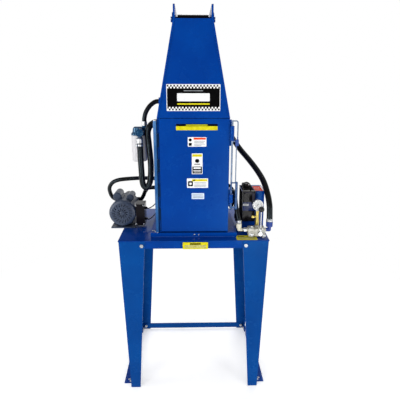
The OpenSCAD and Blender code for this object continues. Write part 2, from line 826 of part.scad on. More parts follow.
module motor_frame() {
    r = motor_d / 2;
    color(navy) difference() {
        about_axis(frame_y)
            polygon([[0, 0], [fan_cover_d / 2, 0], [fan_cover_d / 2, 6], [r, 9],
                [r, motor_l - 10], [r + 1.5, motor_l - 8],
                [r + 1.5, motor_l], [r - 6, motor_l + 8], [r - 26, motor_l + bell_l - 6],
                [r - 28, motor_l + bell_l], [0, motor_l + bell_l]]);
        bar_y(axis_x, frame_y - 1, axis_z, shaft_d + 0.1, motor_l + bell_l + 2);
        for (a = [-60:15:60]) translate([axis_x, 0, axis_z]) rotate([0, a + 180, 0])
            translate([-3, bell_y - 26, r - 4]) cube([6, 20, 6]);
    }
}

// Fan cover: a spun cup with two rings of slanted slots in its face
module fan_cover() {
    r = fan_cover_d / 2;
    wall = 2;
    color(navy) difference() {
        about_axis(fan_y)
            polygon([[0, 0], [r - 16, 0], [r - 5, 3], [r, 10], [r, fan_cover_l], [r - wall, fan_cover_l],
                [r - wall, 11], [r - 6, 5], [r - 16, wall], [0, wall]]);
        translate([axis_x, fan_y - 1, axis_z]) rotate([-90, 0, 0]) {
            for (i = [0:19]) rotate([0, 0, i * 18 + 12]) translate([44, -2, 0]) rotate([0, 0, 28])
                cube([20, 4, wall + 2]);
            for (i = [0:11]) rotate([0, 0, i * 30]) translate([16, -2, 0]) rotate([0, 0, 28])
                cube([20, 4, wall + 2]);
        }
    }
}

module motor_fan() {
    blade_r = fan_cover_d / 2 - 14;
    color(black) difference() {
        translate([axis_x, fan_y + 12, axis_z]) rotate([-90, 0, 0]) {
            cylinder(d = shaft_d + 16, h = 24);
            translate([0, 0, 20]) cylinder(r = blade_r, h = 3);
            for (i = [0:8]) rotate([0, 0, i * 40]) translate([shaft_d / 2 + 6, -1.5, 2])
                cube([blade_r - shaft_d / 2 - 8, 3, 19]);
        }
        bar_y(axis_x, fan_y + 10, axis_z, shaft_d - 2 + 0.05, 40);
    }
}

module motor_shaft() {
    color(steel) {
        bar_y(axis_x, fan_y + 14, axis_z, shaft_d - 2, fan_cover_l - 14);
        bar_y(axis_x, frame_y, axis_z, shaft_d, pump_y + pump_cover_t + gear_w + 8 - frame_y);
    }
}

// Mounting plate with the motor's two folded feet
module motor_base() {
    foot_half = 68;
    y0 = frame_y + 20;
    len = motor_l - 40;
    color(navy) difference() {
        union() {
            translate([axis_x - foot_half - 6, fan_y + 6, table_h])
                cube([2 * foot_half + 12, motor_l + 50, motor_plate_t]);
            along_y(y0, len)
                polygon([[axis_x - foot_half, table_h + motor_plate_t],
                    [axis_x + foot_half, table_h + motor_plate_t],
                    [axis_x + foot_half, table_h + motor_plate_t + 4],
                    [axis_x + 50, table_h + motor_plate_t + 4],
                    [axis_x + 62, axis_z - 30], [axis_x - 62, axis_z - 30],
                    [axis_x - 50, table_h + motor_plate_t + 4],
                    [axis_x - foot_half, table_h + motor_plate_t + 4]]);
        }
        bar_y(axis_x, y0 - 1, axis_z, motor_d + 0.2, len + 2);
        along_y(y0 - 1, len + 2)
            polygon([[axis_x - 40, table_h + motor_plate_t + 4], [axis_x + 40, table_h + motor_plate_t + 4],
                [axis_x + 52, axis_z - 60], [axis_x - 52, axis_z - 60]]);
    }
}

// Capacitor cover: a round-ended can saddled on the motor's frame
module capacitor_cover(angle, d, len) {
    r = motor_d / 2;
    color(navy) difference() {
        translate([axis_x, frame_y + 8, axis_z]) rotate([0, angle, 0]) union() {
            translate([0, 0, r + d / 2 - 4]) rotate([-90, 0, 0]) rotate_extrude()
                polygon([[0, 0], [d / 2 - 5, 0], [d / 2, 5], [d / 2, len - 5], [d / 2 - 5, len], [0, len]]);
            translate([-d / 2 + 3, 6, r - 14]) cube([d - 6, len - 12, d / 2 + 8]);
        }
        bar_y(axis_x, frame_y - 10, axis_z, motor_d + 0.2, motor_l + 20);
    }
}

module start_capacitor_cover() {
    capacitor_cover(-22, start_cap_d, 120);
}

module run_capacitor_cover() {
    capacitor_cover(27, run_cap_d, 105);
}

module terminal_box() {
    left = axis_x + fan_cover_d / 2 + 1;
    color(black) difference() {
        union() {
            translate([left, fan_y + 6, table_h + 18]) cube([54, 92, 136]);
            translate([left - 16, frame_y + 12, axis_z - 20]) cube([18, 36, 40]);
        }
        bar_y(axis_x, fan_y, axis_z, motor_d + 0.2, 200);
        translate([left + 4, fan_y + 5, table_h + 22]) cube([46, 2, 128]);
    }
}

// Pump housing: two lobes round the gears, with a flange on the motor's bell
module pump_housing() {
    cavity_r = gear_tip_r + 0.3;
    color(black) difference() {
        union() {
            along_y(pump_y, pump_l) union() {
                translate([axis_x, axis_z]) circle(r = pump_lobe_r);
                translate([axis_x, idler_z]) circle(r = pump_lobe_r);
                translate([axis_x - pump_lobe_r, axis_z]) square([2 * pump_lobe_r, gear_centres]);
            }
            bar_x(axis_x - pump_lobe_r - 10, pump_mid_y, pump_port_z, 32, 2 * pump_lobe_r + 20);
            for (a = [45:90:315])
                bar_y(axis_x + 40 * cos(a), pump_y + pump_l, axis_z + pitch_r + 40 * sin(a), 10, 5);
        }
        for (z = [axis_z, idler_z])
            bar_y(axis_x, pump_y + pump_cover_t, z, 2 * cavity_r, gear_w);
        bar_y(axis_x, pump_y - 1, axis_z, shaft_d + 0.1, pump_cover_t + gear_w + 10);
        bar_y(axis_x, pump_y + pump_cover_t - 10.2, idler_z, idler_d + 0.1, gear_w + 20.4);
        bar_x(axis_x - pump_lobe_r - 12, pump_mid_y, pump_port_z, 14, 2 * pump_lobe_r + 24);
    }
}

// Angle by which an involute flank has turned where it reaches the given radius
function involute_turn(r, base_r) =
    let (a = acos(min(1, base_r / r))) tan(a) * 180 / PI - a;

// Spur gear outline with involute flanks on a 20 degree base circle
module spur_gear_outline() {
    base_r = pitch_r * cos(20);
    half = 90 / gear_teeth - 0.5 + involute_turn(pitch_r, base_r);
    radii = [for (k = [0:4]) base_r + (gear_tip_r - base_r) * k / 4];
    flank = concat([[gear_root_r, half]], [for (r = radii) [r, half - involute_turn(r, base_r)]]);
    polygon([for (i = [0:gear_teeth - 1])
        for (p = concat([for (f = flank) [f[0], -f[1]]], [for (k = [5:-1:0]) [flank[k][0], flank[k][1]]]))
            p[0] * [sin(i * 360 / gear_teeth + p[1]), cos(i * 360 / gear_teeth + p[1])]]);
}

module drive_gear() {
    color(steel) difference() {
        translate([axis_x, 0, axis_z]) along_y(pump_y + pump_cover_t + 0.2, gear_w - 0.4) spur_gear_outline();
        bar_y(axis_x, pump_y, axis_z, shaft_d + 0.05, 80);
    }
}

module idler_gear() {
    color(steel) {
        translate([axis_x, 0, idler_z]) along_y(pump_y + pump_cover_t + 0.2, gear_w - 0.4)
            rotate(180 / gear_teeth) spur_gear_outline();
        bar_y(axis_x, pump_y + pump_cover_t - 10, idler_z, idler_d, gear_w + 20);
    }
}

// Hex-collared hose ends on both sides of the pump, and the elbow on the tank's left wall
module pump_fittings() {
    reach = pump_lobe_r + 10;
    color(black) for (s = [-1, 1])
        translate([axis_x + s * reach, pump_mid_y, pump_port_z]) rotate([0, 90 * s, 0]) {
        difference() {
            union() {
                cylinder(d = 30, h = 12, $fn = 6);
                translate([0, 0, 12]) cylinder(d = small_hose_d + 3, h = 20);
            }
            translate([0, 0, -1]) cylinder(d = 12, h = 40);
            translate([0, 0, 21.7]) cylinder(d = small_hose_d + 0.4, h = 12);
        }
    }
    color(black) {
        translate([tank_x - 8, suction_y, suction_z]) rotate([0, 90, 0]) cylinder(d = 30, h = 8, $fn = 6);
        bar_x(tank_x - 21, suction_y, suction_z, 20, 14);
        upright_socket(tank_x - 21, suction_y, suction_z, 20, small_hose_d, 14);
    }
}

module oil_tank() {
    color(blue) difference() {
        translate([tank_x, tank_y, table_h]) cube([tank_w, tank_d, tank_h]);
        translate([tank_x + tank_wall, tank_y + tank_wall, table_h + tank_wall])
            cube([tank_w - 2 * tank_wall, tank_d - 2 * tank_wall, tank_h]);
        bar_x(tank_x - 1, suction_y, suction_z, 12, tank_wall + 2);
    }
}

module tank_lid() {
    color(blue) difference() {
        translate([tank_x - 4, tank_y, tank_top]) cube([tank_w + 8, tank_d + 4, tank_wall]);
        bar_z(tank_x + 30, tank_y + tank_d - 36, tank_top - 1, 30, tank_wall + 2);
    }
}

module breather_cap() {
    color(black) {
        bar_z(tank_x + 30, tank_y + tank_d - 36, tank_top - 16, 29.6, 16 + tank_wall);
        bar_z(tank_x + 30, tank_y + tank_d - 36, tank_top + tank_wall, 44, 22);
    }
}

// Control box: a folded tray closed by its front cover
module control_box() {
    color(black) {
        translate([box_x0, tank_y - box_d, tank_top + 8 - box_h]) cube([box_w, box_d, box_h]);
        translate([box_x0 + 5, tank_y - box_d - 3, tank_top + 13 - box_h])
            cube([box_w - 10, 3, box_h - 10]);
    }
}

module valve_body() {
    color("#b9b7ae") difference() {
        union() {
            translate([valve_x - valve_w / 2, valve_y, valve_z]) cube([valve_w, valve_d, valve_h]);
            for (x = [-1, 1]) translate([valve_x + x * valve_w * 0.34 - 12, valve_y + 8, table_h])
                cube([24, valve_d - 16, valve_foot]);
            for (plug = [[-32, 14, 24], [40, 6, 20]])
                bar_y(valve_x + plug[0], valve_y - 8, valve_z + plug[1], plug[2], 9);
            bar_y(spool_x, valve_y - 4, spool_z, spool_d + 14, 5);
            bar_x(valve_x - valve_w / 2 - 10, valve_y + 30, valve_port_z, 24, valve_w + 20);
            bar_z(gauge_x, gauge_y, valve_top - 1, 30, 9);
            for (s = [-1, 1]) translate([spool_x + s * 8.3 - 3, lever_y - 7, valve_top - 1])
                cube([6, 27, lever_z + 7 - valve_top]);
        }
        bar_y(spool_x, valve_y - 6, spool_z, spool_d + 0.1, valve_d + 12);
        bar_x(spool_x - 30, lever_y, lever_z, 6.1, 60);
        bar_y(spool_x, valve_y - 9, spool_z, 26, 13);
    }
}

// Spool with its lands and the grooved end that the lever works in
module valve_spool() {
    color(steel) {
        bar_y(spool_x, lever_y + 5, spool_z, spool_d, valve_d - 2);
        bar_y(spool_x, lever_y + 4.3, spool_z, 24, 3);
        bar_y(spool_x, lever_y - 6, spool_z, 6, 12);
        bar_y(spool_x, lever_y - 7.3, spool_z, 24, 3);
    }
}

// Lever with its pivot pin; the round tip works in the spool's groove
module valve_lever() {
    color(zinc) {
        bar_x(spool_x - 11.5, lever_y, lever_z, 6, 23);
        bar_x(spool_x - 5, lever_y, lever_z, 12, 10);
        bar_x(spool_x - 5, lever_y, lever_z - lever_arm, 8, 10);
        translate([spool_x - 5, lever_y - 2.5, lever_z - lever_arm]) cube([10, 5, lever_arm]);
        bar_z(spool_x, lever_y, lever_z, 8, lever_l - knob_d / 2 + 12);
    }
}

module lever_knob() {
    color(black) difference() {
        translate([spool_x, lever_y, lever_z + lever_l]) sphere(d = knob_d);
        bar_z(spool_x, lever_y, lever_z, 8, lever_l - knob_d / 2 + 12);
    }
}

// Hex union and brass riser under the gauge, the pressure elbow and the elbow to the ram hose
module valve_fittings() {
    port_y = valve_y + 30;
    left = valve_x - valve_w / 2 - 10;
    right = valve_x + valve_w / 2 + 10;
    riser_top = gauge_z - gauge_d / 2 - 6;
    color(brass) {
        translate([gauge_x, gauge_y, valve_top + 8]) cylinder(d = 26, h = 34, $fn = 6);
        bar_z(gauge_x, gauge_y, valve_top + 41, 21, riser_top - valve_top - 41);
        bar_x(gauge_x - 22, gauge_y, valve_top + 60, 14, 22);
        translate([gauge_x - 34, gauge_y, valve_top + 60])
            rotate([0, 90, 0]) cylinder(d = 17, h = 13, $fn = 6);
    }
    color(zinc) {
        translate([left - 16, port_y, valve_port_z]) rotate([0, 90, 0]) cylinder(d = 27, h = 16, $fn = 6);
        bar_x(left - 43, port_y, valve_port_z, 18, 28);
        upright_socket(left - 43, port_y, valve_port_z, 18, small_hose_d, 12);
    }
    color(blue) {
        bar_x(right, port_y, valve_port_z, 22, elbow_x - right);
        upright_socket(elbow_x, port_y, valve_port_z, 22, hose_d, 22);
    }
}

// Upright leg of an elbow that ends in a socket round a hose
module upright_socket(x, y, z, d, hose_size, rise) {
    translate([x, y, z]) sphere(d = d);
    bar_z(x, y, z, d, rise);
    difference() {
        bar_z(x, y, z + rise - 1, hose_size + 4, 29);
        bar_z(x, y, z + rise + 9.7, hose_size + 0.4, 20);
    }
}

// Gauge case: a cup that opens to the front, with its square-cut stem
module gauge_case() {
    color(zinc) difference() {
        union() {
            translate([gauge_x, gauge_y - gauge_l / 2, gauge_z]) rotate([-90, 0, 0]) rotate_extrude($fn = 64)
                polygon([[0, 0], [gauge_d / 2 - 1, 0], [gauge_d / 2, 1], [gauge_d / 2, 8],
                    [gauge_d / 2 - 2, 10],
                    [gauge_d / 2 - 2, gauge_l - 4], [gauge_d / 2 - 6, gauge_l], [0, gauge_l]]);
            translate([gauge_x - 7, gauge_y - 7, gauge_z - gauge_d / 2 - 6]) cube([14, 14, 12]);
        }
        bar_y(gauge_x, gauge_y - gauge_l / 2 - 1, gauge_z, gauge_d - 8, 16);
        bar_y(gauge_x, gauge_y - gauge_l / 2 + 14, gauge_z, 3.1, 6);
    }
}

module gauge_needle() {
    color(black) translate([gauge_x, gauge_y - gauge_l / 2 + 9, gauge_z]) rotate([90, 0, 0]) {
        cylinder(d = 6, h = 3);
        translate([0, 0, -9]) cylinder(d = 3, h = 10);
        linear_extrude(1) rotate(135) polygon([[-1.6, -8], [1.6, -8], [0.5, 21], [-0.5, 21]]);
    }
}

module gauge_glass() {
    color([0.8, 0.9, 0.95, 0.4]) bar_y(gauge_x, gauge_y - gauge_l / 2 + 1, gauge_z, gauge_d - 8.2, 2);
}

// Filter head with its front and top ports and the bracket that holds it to the chamber
module filter_head() {
    wall = -chamber_w / 2;
    color(blue) difference() {
        union() {
            translate([filter_x, filter_y, head_z]) rotate_extrude()
                polygon([[0, 0], [can_d / 2 + 2, 0], [can_d / 2 + 2, 8], [can_d / 2 - 6, 18],
                    [can_d / 2 - 10, head_h], [0, head_h]]);
            bar_y(filter_port_x, filter_port_y, head_z + 20, 34, 30);
            bar_z(filter_outlet_x, filter_y, head_z + 6, 30, head_h + 6);
            difference() {
                translate([filter_x - 26, filter_y - 26, head_z + head_h])
                    cube([wall - filter_x + 26, 60, 6]);
                bar_z(filter_outlet_x, filter_y, head_z, 29, 100);
            }
            translate([wall - 6, filter_y - 26, head_z - 8]) cube([6, 60, head_h + 14]);
        }
        bar_y(filter_port_x, filter_port_y - 1, head_z + 20, 20, 34);
        bar_z(filter_outlet_x, filter_y, head_z + head_h, 18, 20);
    }
}

module filter_can() {
    r = can_d / 2;
    color("#e8e6e2") translate([filter_x, filter_y, can_z]) rotate_extrude($fn = 64)
        polygon([[0, 4], [r - 14, 0], [r - 4, 3], [r, 9], [r, can_h - 6], [r - 2, can_h], [0, can_h]]);
}

// Elbow on the filter's front port, its collar, and the union under the arc hose
module filter_fittings() {
    z = head_z + 20;
    color(blue) {
        bar_y(filter_port_x, filter_port_y - 24, z, 46, 24);
        bar_z(filter_port_x, filter_port_y - 14, z - 34, 26, 34);
    }
    color(zinc) {
        difference() {
            bar_z(filter_port_x, filter_port_y - 14, z - 60, hose_d + 4, 27);
            bar_z(filter_port_x, filter_port_y - 14, z - 61, hose_d + 0.4, 19.3);
        }
        difference() {
            bar_z(filter_outlet_x, filter_y, head_z + head_h + 12, small_hose_d + 4, 24);
            bar_z(filter_outlet_x, filter_y, head_z + head_h + 21.7, small_hose_d + 0.4, 16);
        }
    }
}

module pump_hoses() {
    color(black) {
        hose(suction_route, small_hose_d);
        hose(pressure_route, small_hose_d);
    }
}

module return_hoses() {
    color(black) {
        hose(loop_route, hose_d, from = chamber_top);
        hose(arc_route, small_hose_d, from = chamber_top);
    }
}

module ram_hose() {
    color(black) hose(ram_route, hose_d);
}

module motor_leads() {
    color(black) {
        hose(lead_a_route, 7, 3, 8);
        hose(lead_b_route, 7, 3, 8);
        hose(box_lead_route, 8, 3, 8);
    }
}

table_top();
leg_front_left();
leg_front_right();
leg_rear_left();
leg_rear_right();
skid_left();
skid_right();
rear_crossbar();
fasteners();
base_plate();
drain_spout();
side_plate_left();
side_plate_right();
back_plate();
hood_front();
guide_plate();
top_pin();
cylinder_barrel();
cylinder_gland();
piston();
piston_rod();
piston_seals();
crush_platen();
door_panel();
door_hinge();
frame_hinge();
hinge_pin();
latch_handle();
latch_brackets();
motor_frame();
fan_cover();
motor_fan();
motor_shaft();
motor_base();
start_capacitor_cover();
run_capacitor_cover();
terminal_box();
pump_housing();
drive_gear();
idler_gear();
pump_fittings();
oil_tank();
tank_lid();
breather_cap();
control_box();
valve_body();
valve_spool();
valve_lever();
lever_knob();
valve_fittings();
gauge_case();
gauge_needle();
gauge_glass();
filter_head();
filter_can();
filter_fittings();
pump_hoses();
return_hoses();
ram_hose();
motor_leads();
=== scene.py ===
"""Finishes, hoses, plates and fine pieces of an oil filter crusher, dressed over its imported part.

Every length is in metres, in the part's own frame: +Z up, -Y towards the person at the door.
"""

from __future__ import annotations

import logging
import math
from dataclasses import dataclass, replace
from enum import Enum
from typing import ClassVar

import bpy
import numpy as np
from mathutils import Matrix, Vector

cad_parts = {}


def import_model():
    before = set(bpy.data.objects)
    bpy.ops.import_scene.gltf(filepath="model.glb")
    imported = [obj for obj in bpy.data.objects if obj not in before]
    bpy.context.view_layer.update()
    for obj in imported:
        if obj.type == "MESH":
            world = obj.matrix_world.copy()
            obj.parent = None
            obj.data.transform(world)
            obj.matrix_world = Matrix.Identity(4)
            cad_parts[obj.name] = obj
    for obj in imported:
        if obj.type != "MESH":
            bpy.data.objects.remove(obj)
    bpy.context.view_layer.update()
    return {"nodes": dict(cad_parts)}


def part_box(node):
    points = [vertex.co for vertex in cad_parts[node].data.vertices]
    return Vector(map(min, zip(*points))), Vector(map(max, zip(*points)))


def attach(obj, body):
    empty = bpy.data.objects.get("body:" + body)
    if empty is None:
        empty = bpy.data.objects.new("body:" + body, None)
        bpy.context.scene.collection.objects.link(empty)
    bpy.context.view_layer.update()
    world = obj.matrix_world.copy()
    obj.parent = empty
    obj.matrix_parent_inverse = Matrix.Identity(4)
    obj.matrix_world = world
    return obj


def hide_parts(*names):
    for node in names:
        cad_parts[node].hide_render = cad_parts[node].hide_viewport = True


LOG = logging.getLogger("crusher")
MM = 0.001
Point = tuple[float, float, float]
Spot = tuple[float, float]
Rgba = tuple[float, float, float, float]
Skin = tuple[np.ndarray, list]
LOOKS_UP = ((1.0, 0.0, 0.0), (0.0, 1.0, 0.0))
LOOKS_LEFT = ((0.0, -1.0, 0.0), (0.0, 0.0, 1.0))
LOOKS_RIGHT = ((0.0, 1.0, 0.0), (0.0, 0.0, 1.0))


class Body(Enum):
    """Bodies of the part that new pieces ride on."""

    FRAME = "frame"
    DOOR = "door"


class Slot(Enum):
    """The record's material slots, passed along with new pieces but not set on them."""

    BLACK_ENAMEL = "black_enamel"
    BLACK_PLASTIC = "black_plastic"
    BLUE_PAINT = "blue_paint"
    CAST_VALVE = "cast_valve"
    HOSE_RUBBER = "hose_rubber"
    NAVY_ENAMEL = "navy_enamel"
    WHITE_ENAMEL = "white_enamel"
    ZINC = "zinc"


class Effect(Enum):
    """Node groups that several finishes share, by the method of Effects that builds each."""

    CLOUDY_COLOUR = "cloudy_colour"
    ROLLED_EDGE = "rolled_edge"
    SKIN_RELIEF = "skin_relief"
    SETTLED_DUST = "settled_dust"
    DRAWN_LINES = "drawn_lines"
    CLOTH_WRAP = "cloth_wrap"


# ---------------------------------------------------------------- surfaces


def grid_faces(rows: int, cols: int, round_rows: bool = False, round_cols: bool = True) -> np.ndarray:
    """Quads that join each point of a rows by cols grid to its next neighbours.

    Args:
        rows: number of rings or lines in the grid.
        cols: number of points in each.
        round_rows: whether the last ring joins the first.
        round_cols: whether each ring closes on itself.

    Returns:
        Vertex numbers, four to a face.
    """
    r = np.arange(rows if round_rows else rows - 1)
    c = np.arange(cols if round_cols else cols - 1)
    a, b = np.meshgrid(r, c, indexing="ij")
    a2, b2 = (a + 1) % rows, (b + 1) % cols
    quads = np.stack([a * cols + b, a * cols + b2, a2 * cols + b2, a2 * cols + b], axis=-1)
    return quads.reshape(-1, 4)


def piece_from(name: str, points: np.ndarray, faces: list, smooth: bool = True,
               uv: np.ndarray | None = None) -> bpy.types.Object:
    """Makes a mesh object at the origin from arrays.

    Args:
        name: the piece's name.
        points: vertex places in the part's frame, one row each.
        faces: lists or arrays of vertex numbers.
        smooth: whether the faces shade as one curved surface.
        uv: one pair of pattern coordinates for each vertex, if the finish follows the surface.

    Returns:
        The object.
    """
    mesh = bpy.data.meshes.new(name)
    mesh.from_pydata(np.asarray(points, float).tolist(), [], [list(map(int, f)) for f in faces])
    if uv is not None:
        layer = mesh.uv_layers.new(name="along")
        corner = np.zeros(len(mesh.loops), np.int32)
        mesh.loops.foreach_get("vertex_index", corner)
        layer.data.foreach_set("uv", np.asarray(uv, np.float32)[corner].ravel())
    mesh.polygons.foreach_set("use_smooth", np.full(len(mesh.polygons), smooth))
    mesh.validate()
    mesh.update()
    made = bpy.data.objects.new(name, mesh)
    bpy.context.scene.collection.objects.link(made)
    return made


def loft(rings: np.ndarray, capped: bool = True) -> Skin:
    """Joins a stack of closed rings of equal count into one skin.

    Args:
        rings: array of ring, point and coordinate; seen from the last ring, points run anticlockwise.
        capped: whether flat faces close both ends.

    Returns:
        Points and faces.
    """
    count, around = rings.shape[:2]
    faces = [list(f) for f in grid_faces(count, around)]
    if capped:
        faces.append(list(range(around - 1, -1, -1)))
        faces.append(list(range((count - 1) * around, count * around)))
    return rings.reshape(-1, 3), faces


def joined(parts: list[Skin]) -> Skin:
    """Puts several skins into one list of points and faces.

    Args:
        parts: points and faces of each skin.

    Returns:
        All the points, and the faces with their numbers moved on by the points before them.
    """
    points, faces, start = [], [], 0
    for some_points, some_faces in parts:
        points.append(some_points)
        faces.extend([[i + start for i in f] for f in some_faces])
        start += len(some_points)
    return np.concatenate(points), faces


def rounded_rectangle(width: float, height: float, corner: float, steps: int = 5) -> np.ndarray:
    """Outline of a rectangle with quarter-circle corners, anticlockwise from its lower right corner.

    Args:
        width: full width.
        height: full height.
        corner: corner radius.
        steps: points in each quarter.

    Returns:
        Pairs of coordinates about the centre.
    """
    turn = np.linspace(0, math.pi / 2, steps)
    outline = []
    for k, (sx, sy) in enumerate([(1, -1), (1, 1), (-1, 1), (-1, -1)]):
        a = turn - math.pi / 2 + k * math.pi / 2
        centre = np.array([sx * (width / 2 - corner), sy * (height / 2 - corner)])
        outline.append(centre + corner * np.stack([np.cos(a), np.sin(a)], axis=-1))
    return np.concatenate(outline)


def regular_outline(radius: float, sides: int, turn: float = 0.0) -> np.ndarray:
    """Points of a regular polygon or circle: radius times the cosine and sine of even angles."""
    a = np.arange(sides) * 2 * math.pi / sides + turn
    return radius * np.stack([np.cos(a), np.sin(a)], axis=-1)


@dataclass(frozen=True)
class Face:
    """A flat place on the machine: a centre and two directions along it, with the third pointing out."""

    centre: Point
    across: Point = (1.0, 0.0, 0.0)
    up: Point = (0.0, 0.0, 1.0)

    @property
    def out(self) -> np.ndarray:
        """Direction away from the machine."""
        return np.cross(np.array(self.across), np.array(self.up))

    def place(self, flat: np.ndarray, height: float | np.ndarray = 0.0) -> np.ndarray:
        """Carries points on the face, and heights above it, into the part's frame."""
        lift = np.broadcast_to(np.asarray(height, float), flat.shape[:1])[:, None]
        return (np.array(self.centre) + flat[:, :1] * np.array(self.across)
                + flat[:, 1:2] * np.array(self.up) + lift * self.out)

    def slab(self, outline: np.ndarray, bottom: float, top: float, ease: float = 0.0,
             at: Spot = (0.0, 0.0)) -> Skin:
        """A plate of the given outline with an eased upper edge.

        Args:
            outline: pairs of coordinates, anticlockwise from outside.
            bottom: height of its back above the face.
            top: height of its front.
            ease: how far the upper edge is drawn in and down.
            at: shift along the face.

        Returns:
            Points and faces.
        """
        shifted = outline + np.array(at)
        middle = shifted.mean(axis=0)
        reach = np.linalg.norm(shifted - middle, axis=1).max()
        inner = middle + (shifted - middle) * (1 - ease / reach)
        rings = [self.place(shifted, bottom), self.place(shifted, top - ease)]
        rings.append(self.place(inner, top))
        return loft(np.stack(rings))

    def turned(self, profile: list[tuple[float, float]], sides: int = 32,
               at: Spot = (0.0, 0.0)) -> Skin:
        """A round piece on the face: each pair is a radius and a height, from the back to the front."""
        rings = [self.place(regular_outline(r, sides) + np.array(at), h) for r, h in profile]
        return loft(np.stack(rings))


def smooth_route(points: np.ndarray, steps: int) -> np.ndarray:
    """Catmull-Rom curve through given points: a cubic between each pair that leaves each point
    in the direction from the point before it to the point after it.

    Args:
        points: the chosen points.
        steps: new points in each stretch.

    Returns:
        The curve's points.
    """
    p = np.concatenate([points[:1], points, points[-1:]])
    a, b, c, d = (p[k:len(p) - 3 + k, None, :] for k in range(4))
    t = (np.arange(steps) / steps)[None, :, None]
    curve = 0.5 * (2 * b + (c - a) * t + (2 * a - 5 * b + 4 * c - d) * t ** 2
                   + (3 * b - a - 3 * c + d) * t ** 3)
    return np.concatenate([curve.reshape(-1, 3), points[-1:]])


def sweep(line: np.ndarray, radius: float | np.ndarray,
          sides: int) -> tuple[np.ndarray, list, np.ndarray]:
    """Carries a circle along a line without twist.

    Each ring stands square to the line, and its side direction is the last ring's, less what points
    along the line.

    Args:
        line: points of the middle.
        radius: one radius, or one for each point.
        sides: points in each ring.

    Returns:
        Points, faces, and pattern coordinates: share of the turn, and metres along the line.
    """
    along = np.gradient(line, axis=0)
    along /= np.linalg.norm(along, axis=1)[:, None]
    side = np.array([0.0, 0.0, 1.0]) if abs(along[0][2]) < 0.9 else np.array([1.0, 0.0, 0.0])
    sides_at = []
    for direction in along:
        side = side - side.dot(direction) * direction
        side = side / np.linalg.norm(side)
        sides_at.append(side)
    u = np.array(sides_at)
    w = np.cross(along, u)
    a = np.arange(sides) * 2 * math.pi / sides
    r = np.broadcast_to(np.asarray(radius, float), len(line))
    rings = line[:, None] + r[:, None, None] * (np.cos(a)[None, :, None] * u[:, None]
                                               + np.sin(a)[None, :, None] * w[:, None])
    points, faces = loft(rings)
    run = np.concatenate([[0.0], np.cumsum(np.linalg.norm(np.diff(line, axis=0), axis=1))])
    uv = np.stack(np.broadcast_arrays(a[None] / (2 * math.pi), run[:, None]), axis=-1).reshape(-1, 2)
    return points, faces, uv


# ---------------------------------------------------------------- finishes


def shade(red: int, green: int, blue: int) -> Rgba:
    """Turns a display colour of 0 to 255 into the linear colour that a shader takes: below a small
    value by a plain factor, above it by a power of 2.4.

    Args:
        red: share of red.
        green: share of green.
        blue: share of blue.

    Returns:
        The linear colour, opaque.
    """
    c = np.array([red, green, blue]) / 255
    linear = np.where(c <= 0.04045, c / 12.92, ((c + 0.055) / 1.055) ** 2.4)
    return (float(linear[0]), float(linear[1]), float(linear[2]), 1.0)


class Graph:
    """A node tree with short calls for placing nodes and joining them."""

    def __init__(self, tree: bpy.types.NodeTree) -> None:
        """Takes an empty node tree."""
        self.tree = tree

    def node(self, kind: str, inputs: dict | None = None, **settings: object) -> bpy.types.Node:
        """Places one node.

        Args:
            kind: its type, without the ShaderNode before it.
            inputs: values or sockets for its inputs, by name or number.
            settings: its other settings.

        Returns:
            The node.
        """
        made = self.tree.nodes.new("ShaderNode" + kind)
        for key, value in settings.items():
            setattr(made, key, value)
        for key, value in (inputs or {}).items():
            self.feed(made.inputs[key], value)
        return made

    def feed(self, socket: bpy.types.NodeSocket, value: object) -> None:
        """Joins a socket to another, or sets its own value."""
        if isinstance(value, bpy.types.NodeSocket):
            self.tree.links.new(value, socket)
        else:
            socket.default_value = value

    def math(self, operation: str, *values: object, clamp: bool = False) -> bpy.types.NodeSocket:
        """Places a Math node.

        Args:
            operation: what it does.
            values: numbers or sockets, in order.
            clamp: whether the result is held between nought and one.

        Returns:
            Its output.
        """
        made = self.node("Math", dict(enumerate(values)), operation=operation)
        made.use_clamp = clamp
        return made.outputs[0]

    def span(self, value: object, low: float, high: float, to_low: float = 0.0,
             to_high: float = 1.0) -> bpy.types.NodeSocket:
        """Carries a value from one range to another, and holds it inside."""
        return self.node("MapRange", {"Value": value, "From Min": low, "From Max": high,
                                      "To Min": to_low, "To Max": to_high}).outputs["Result"]

    def mix(self, share: object, first: object, second: object) -> bpy.types.NodeSocket:
        """Blends two colours.

        Args:
            share: how much of the second colour, from nought to one.
            first: the first colour.
            second: the second colour.

        Returns:
            The blend.
        """
        made = self.node("Mix", data_type="RGBA")
        for number, value in ((0, share), (6, first), (7, second)):
            self.feed(made.inputs[number], value)
        return made.outputs[2]

    def noise(self, vector: object, scale: object, detail: float = 2.0,
              roughness: float = 0.5) -> bpy.types.NodeSocket:
        """Height of a Noise Texture."""
        return self.node("TexNoise", {"Vector": vector, "Scale": scale, "Detail": detail,
                                      "Roughness": roughness}).outputs["Fac"]

    def place(self) -> bpy.types.NodeSocket:
        """Object coordinates, in metres in the part's frame."""
        return self.node("TexCoord").outputs["Object"]


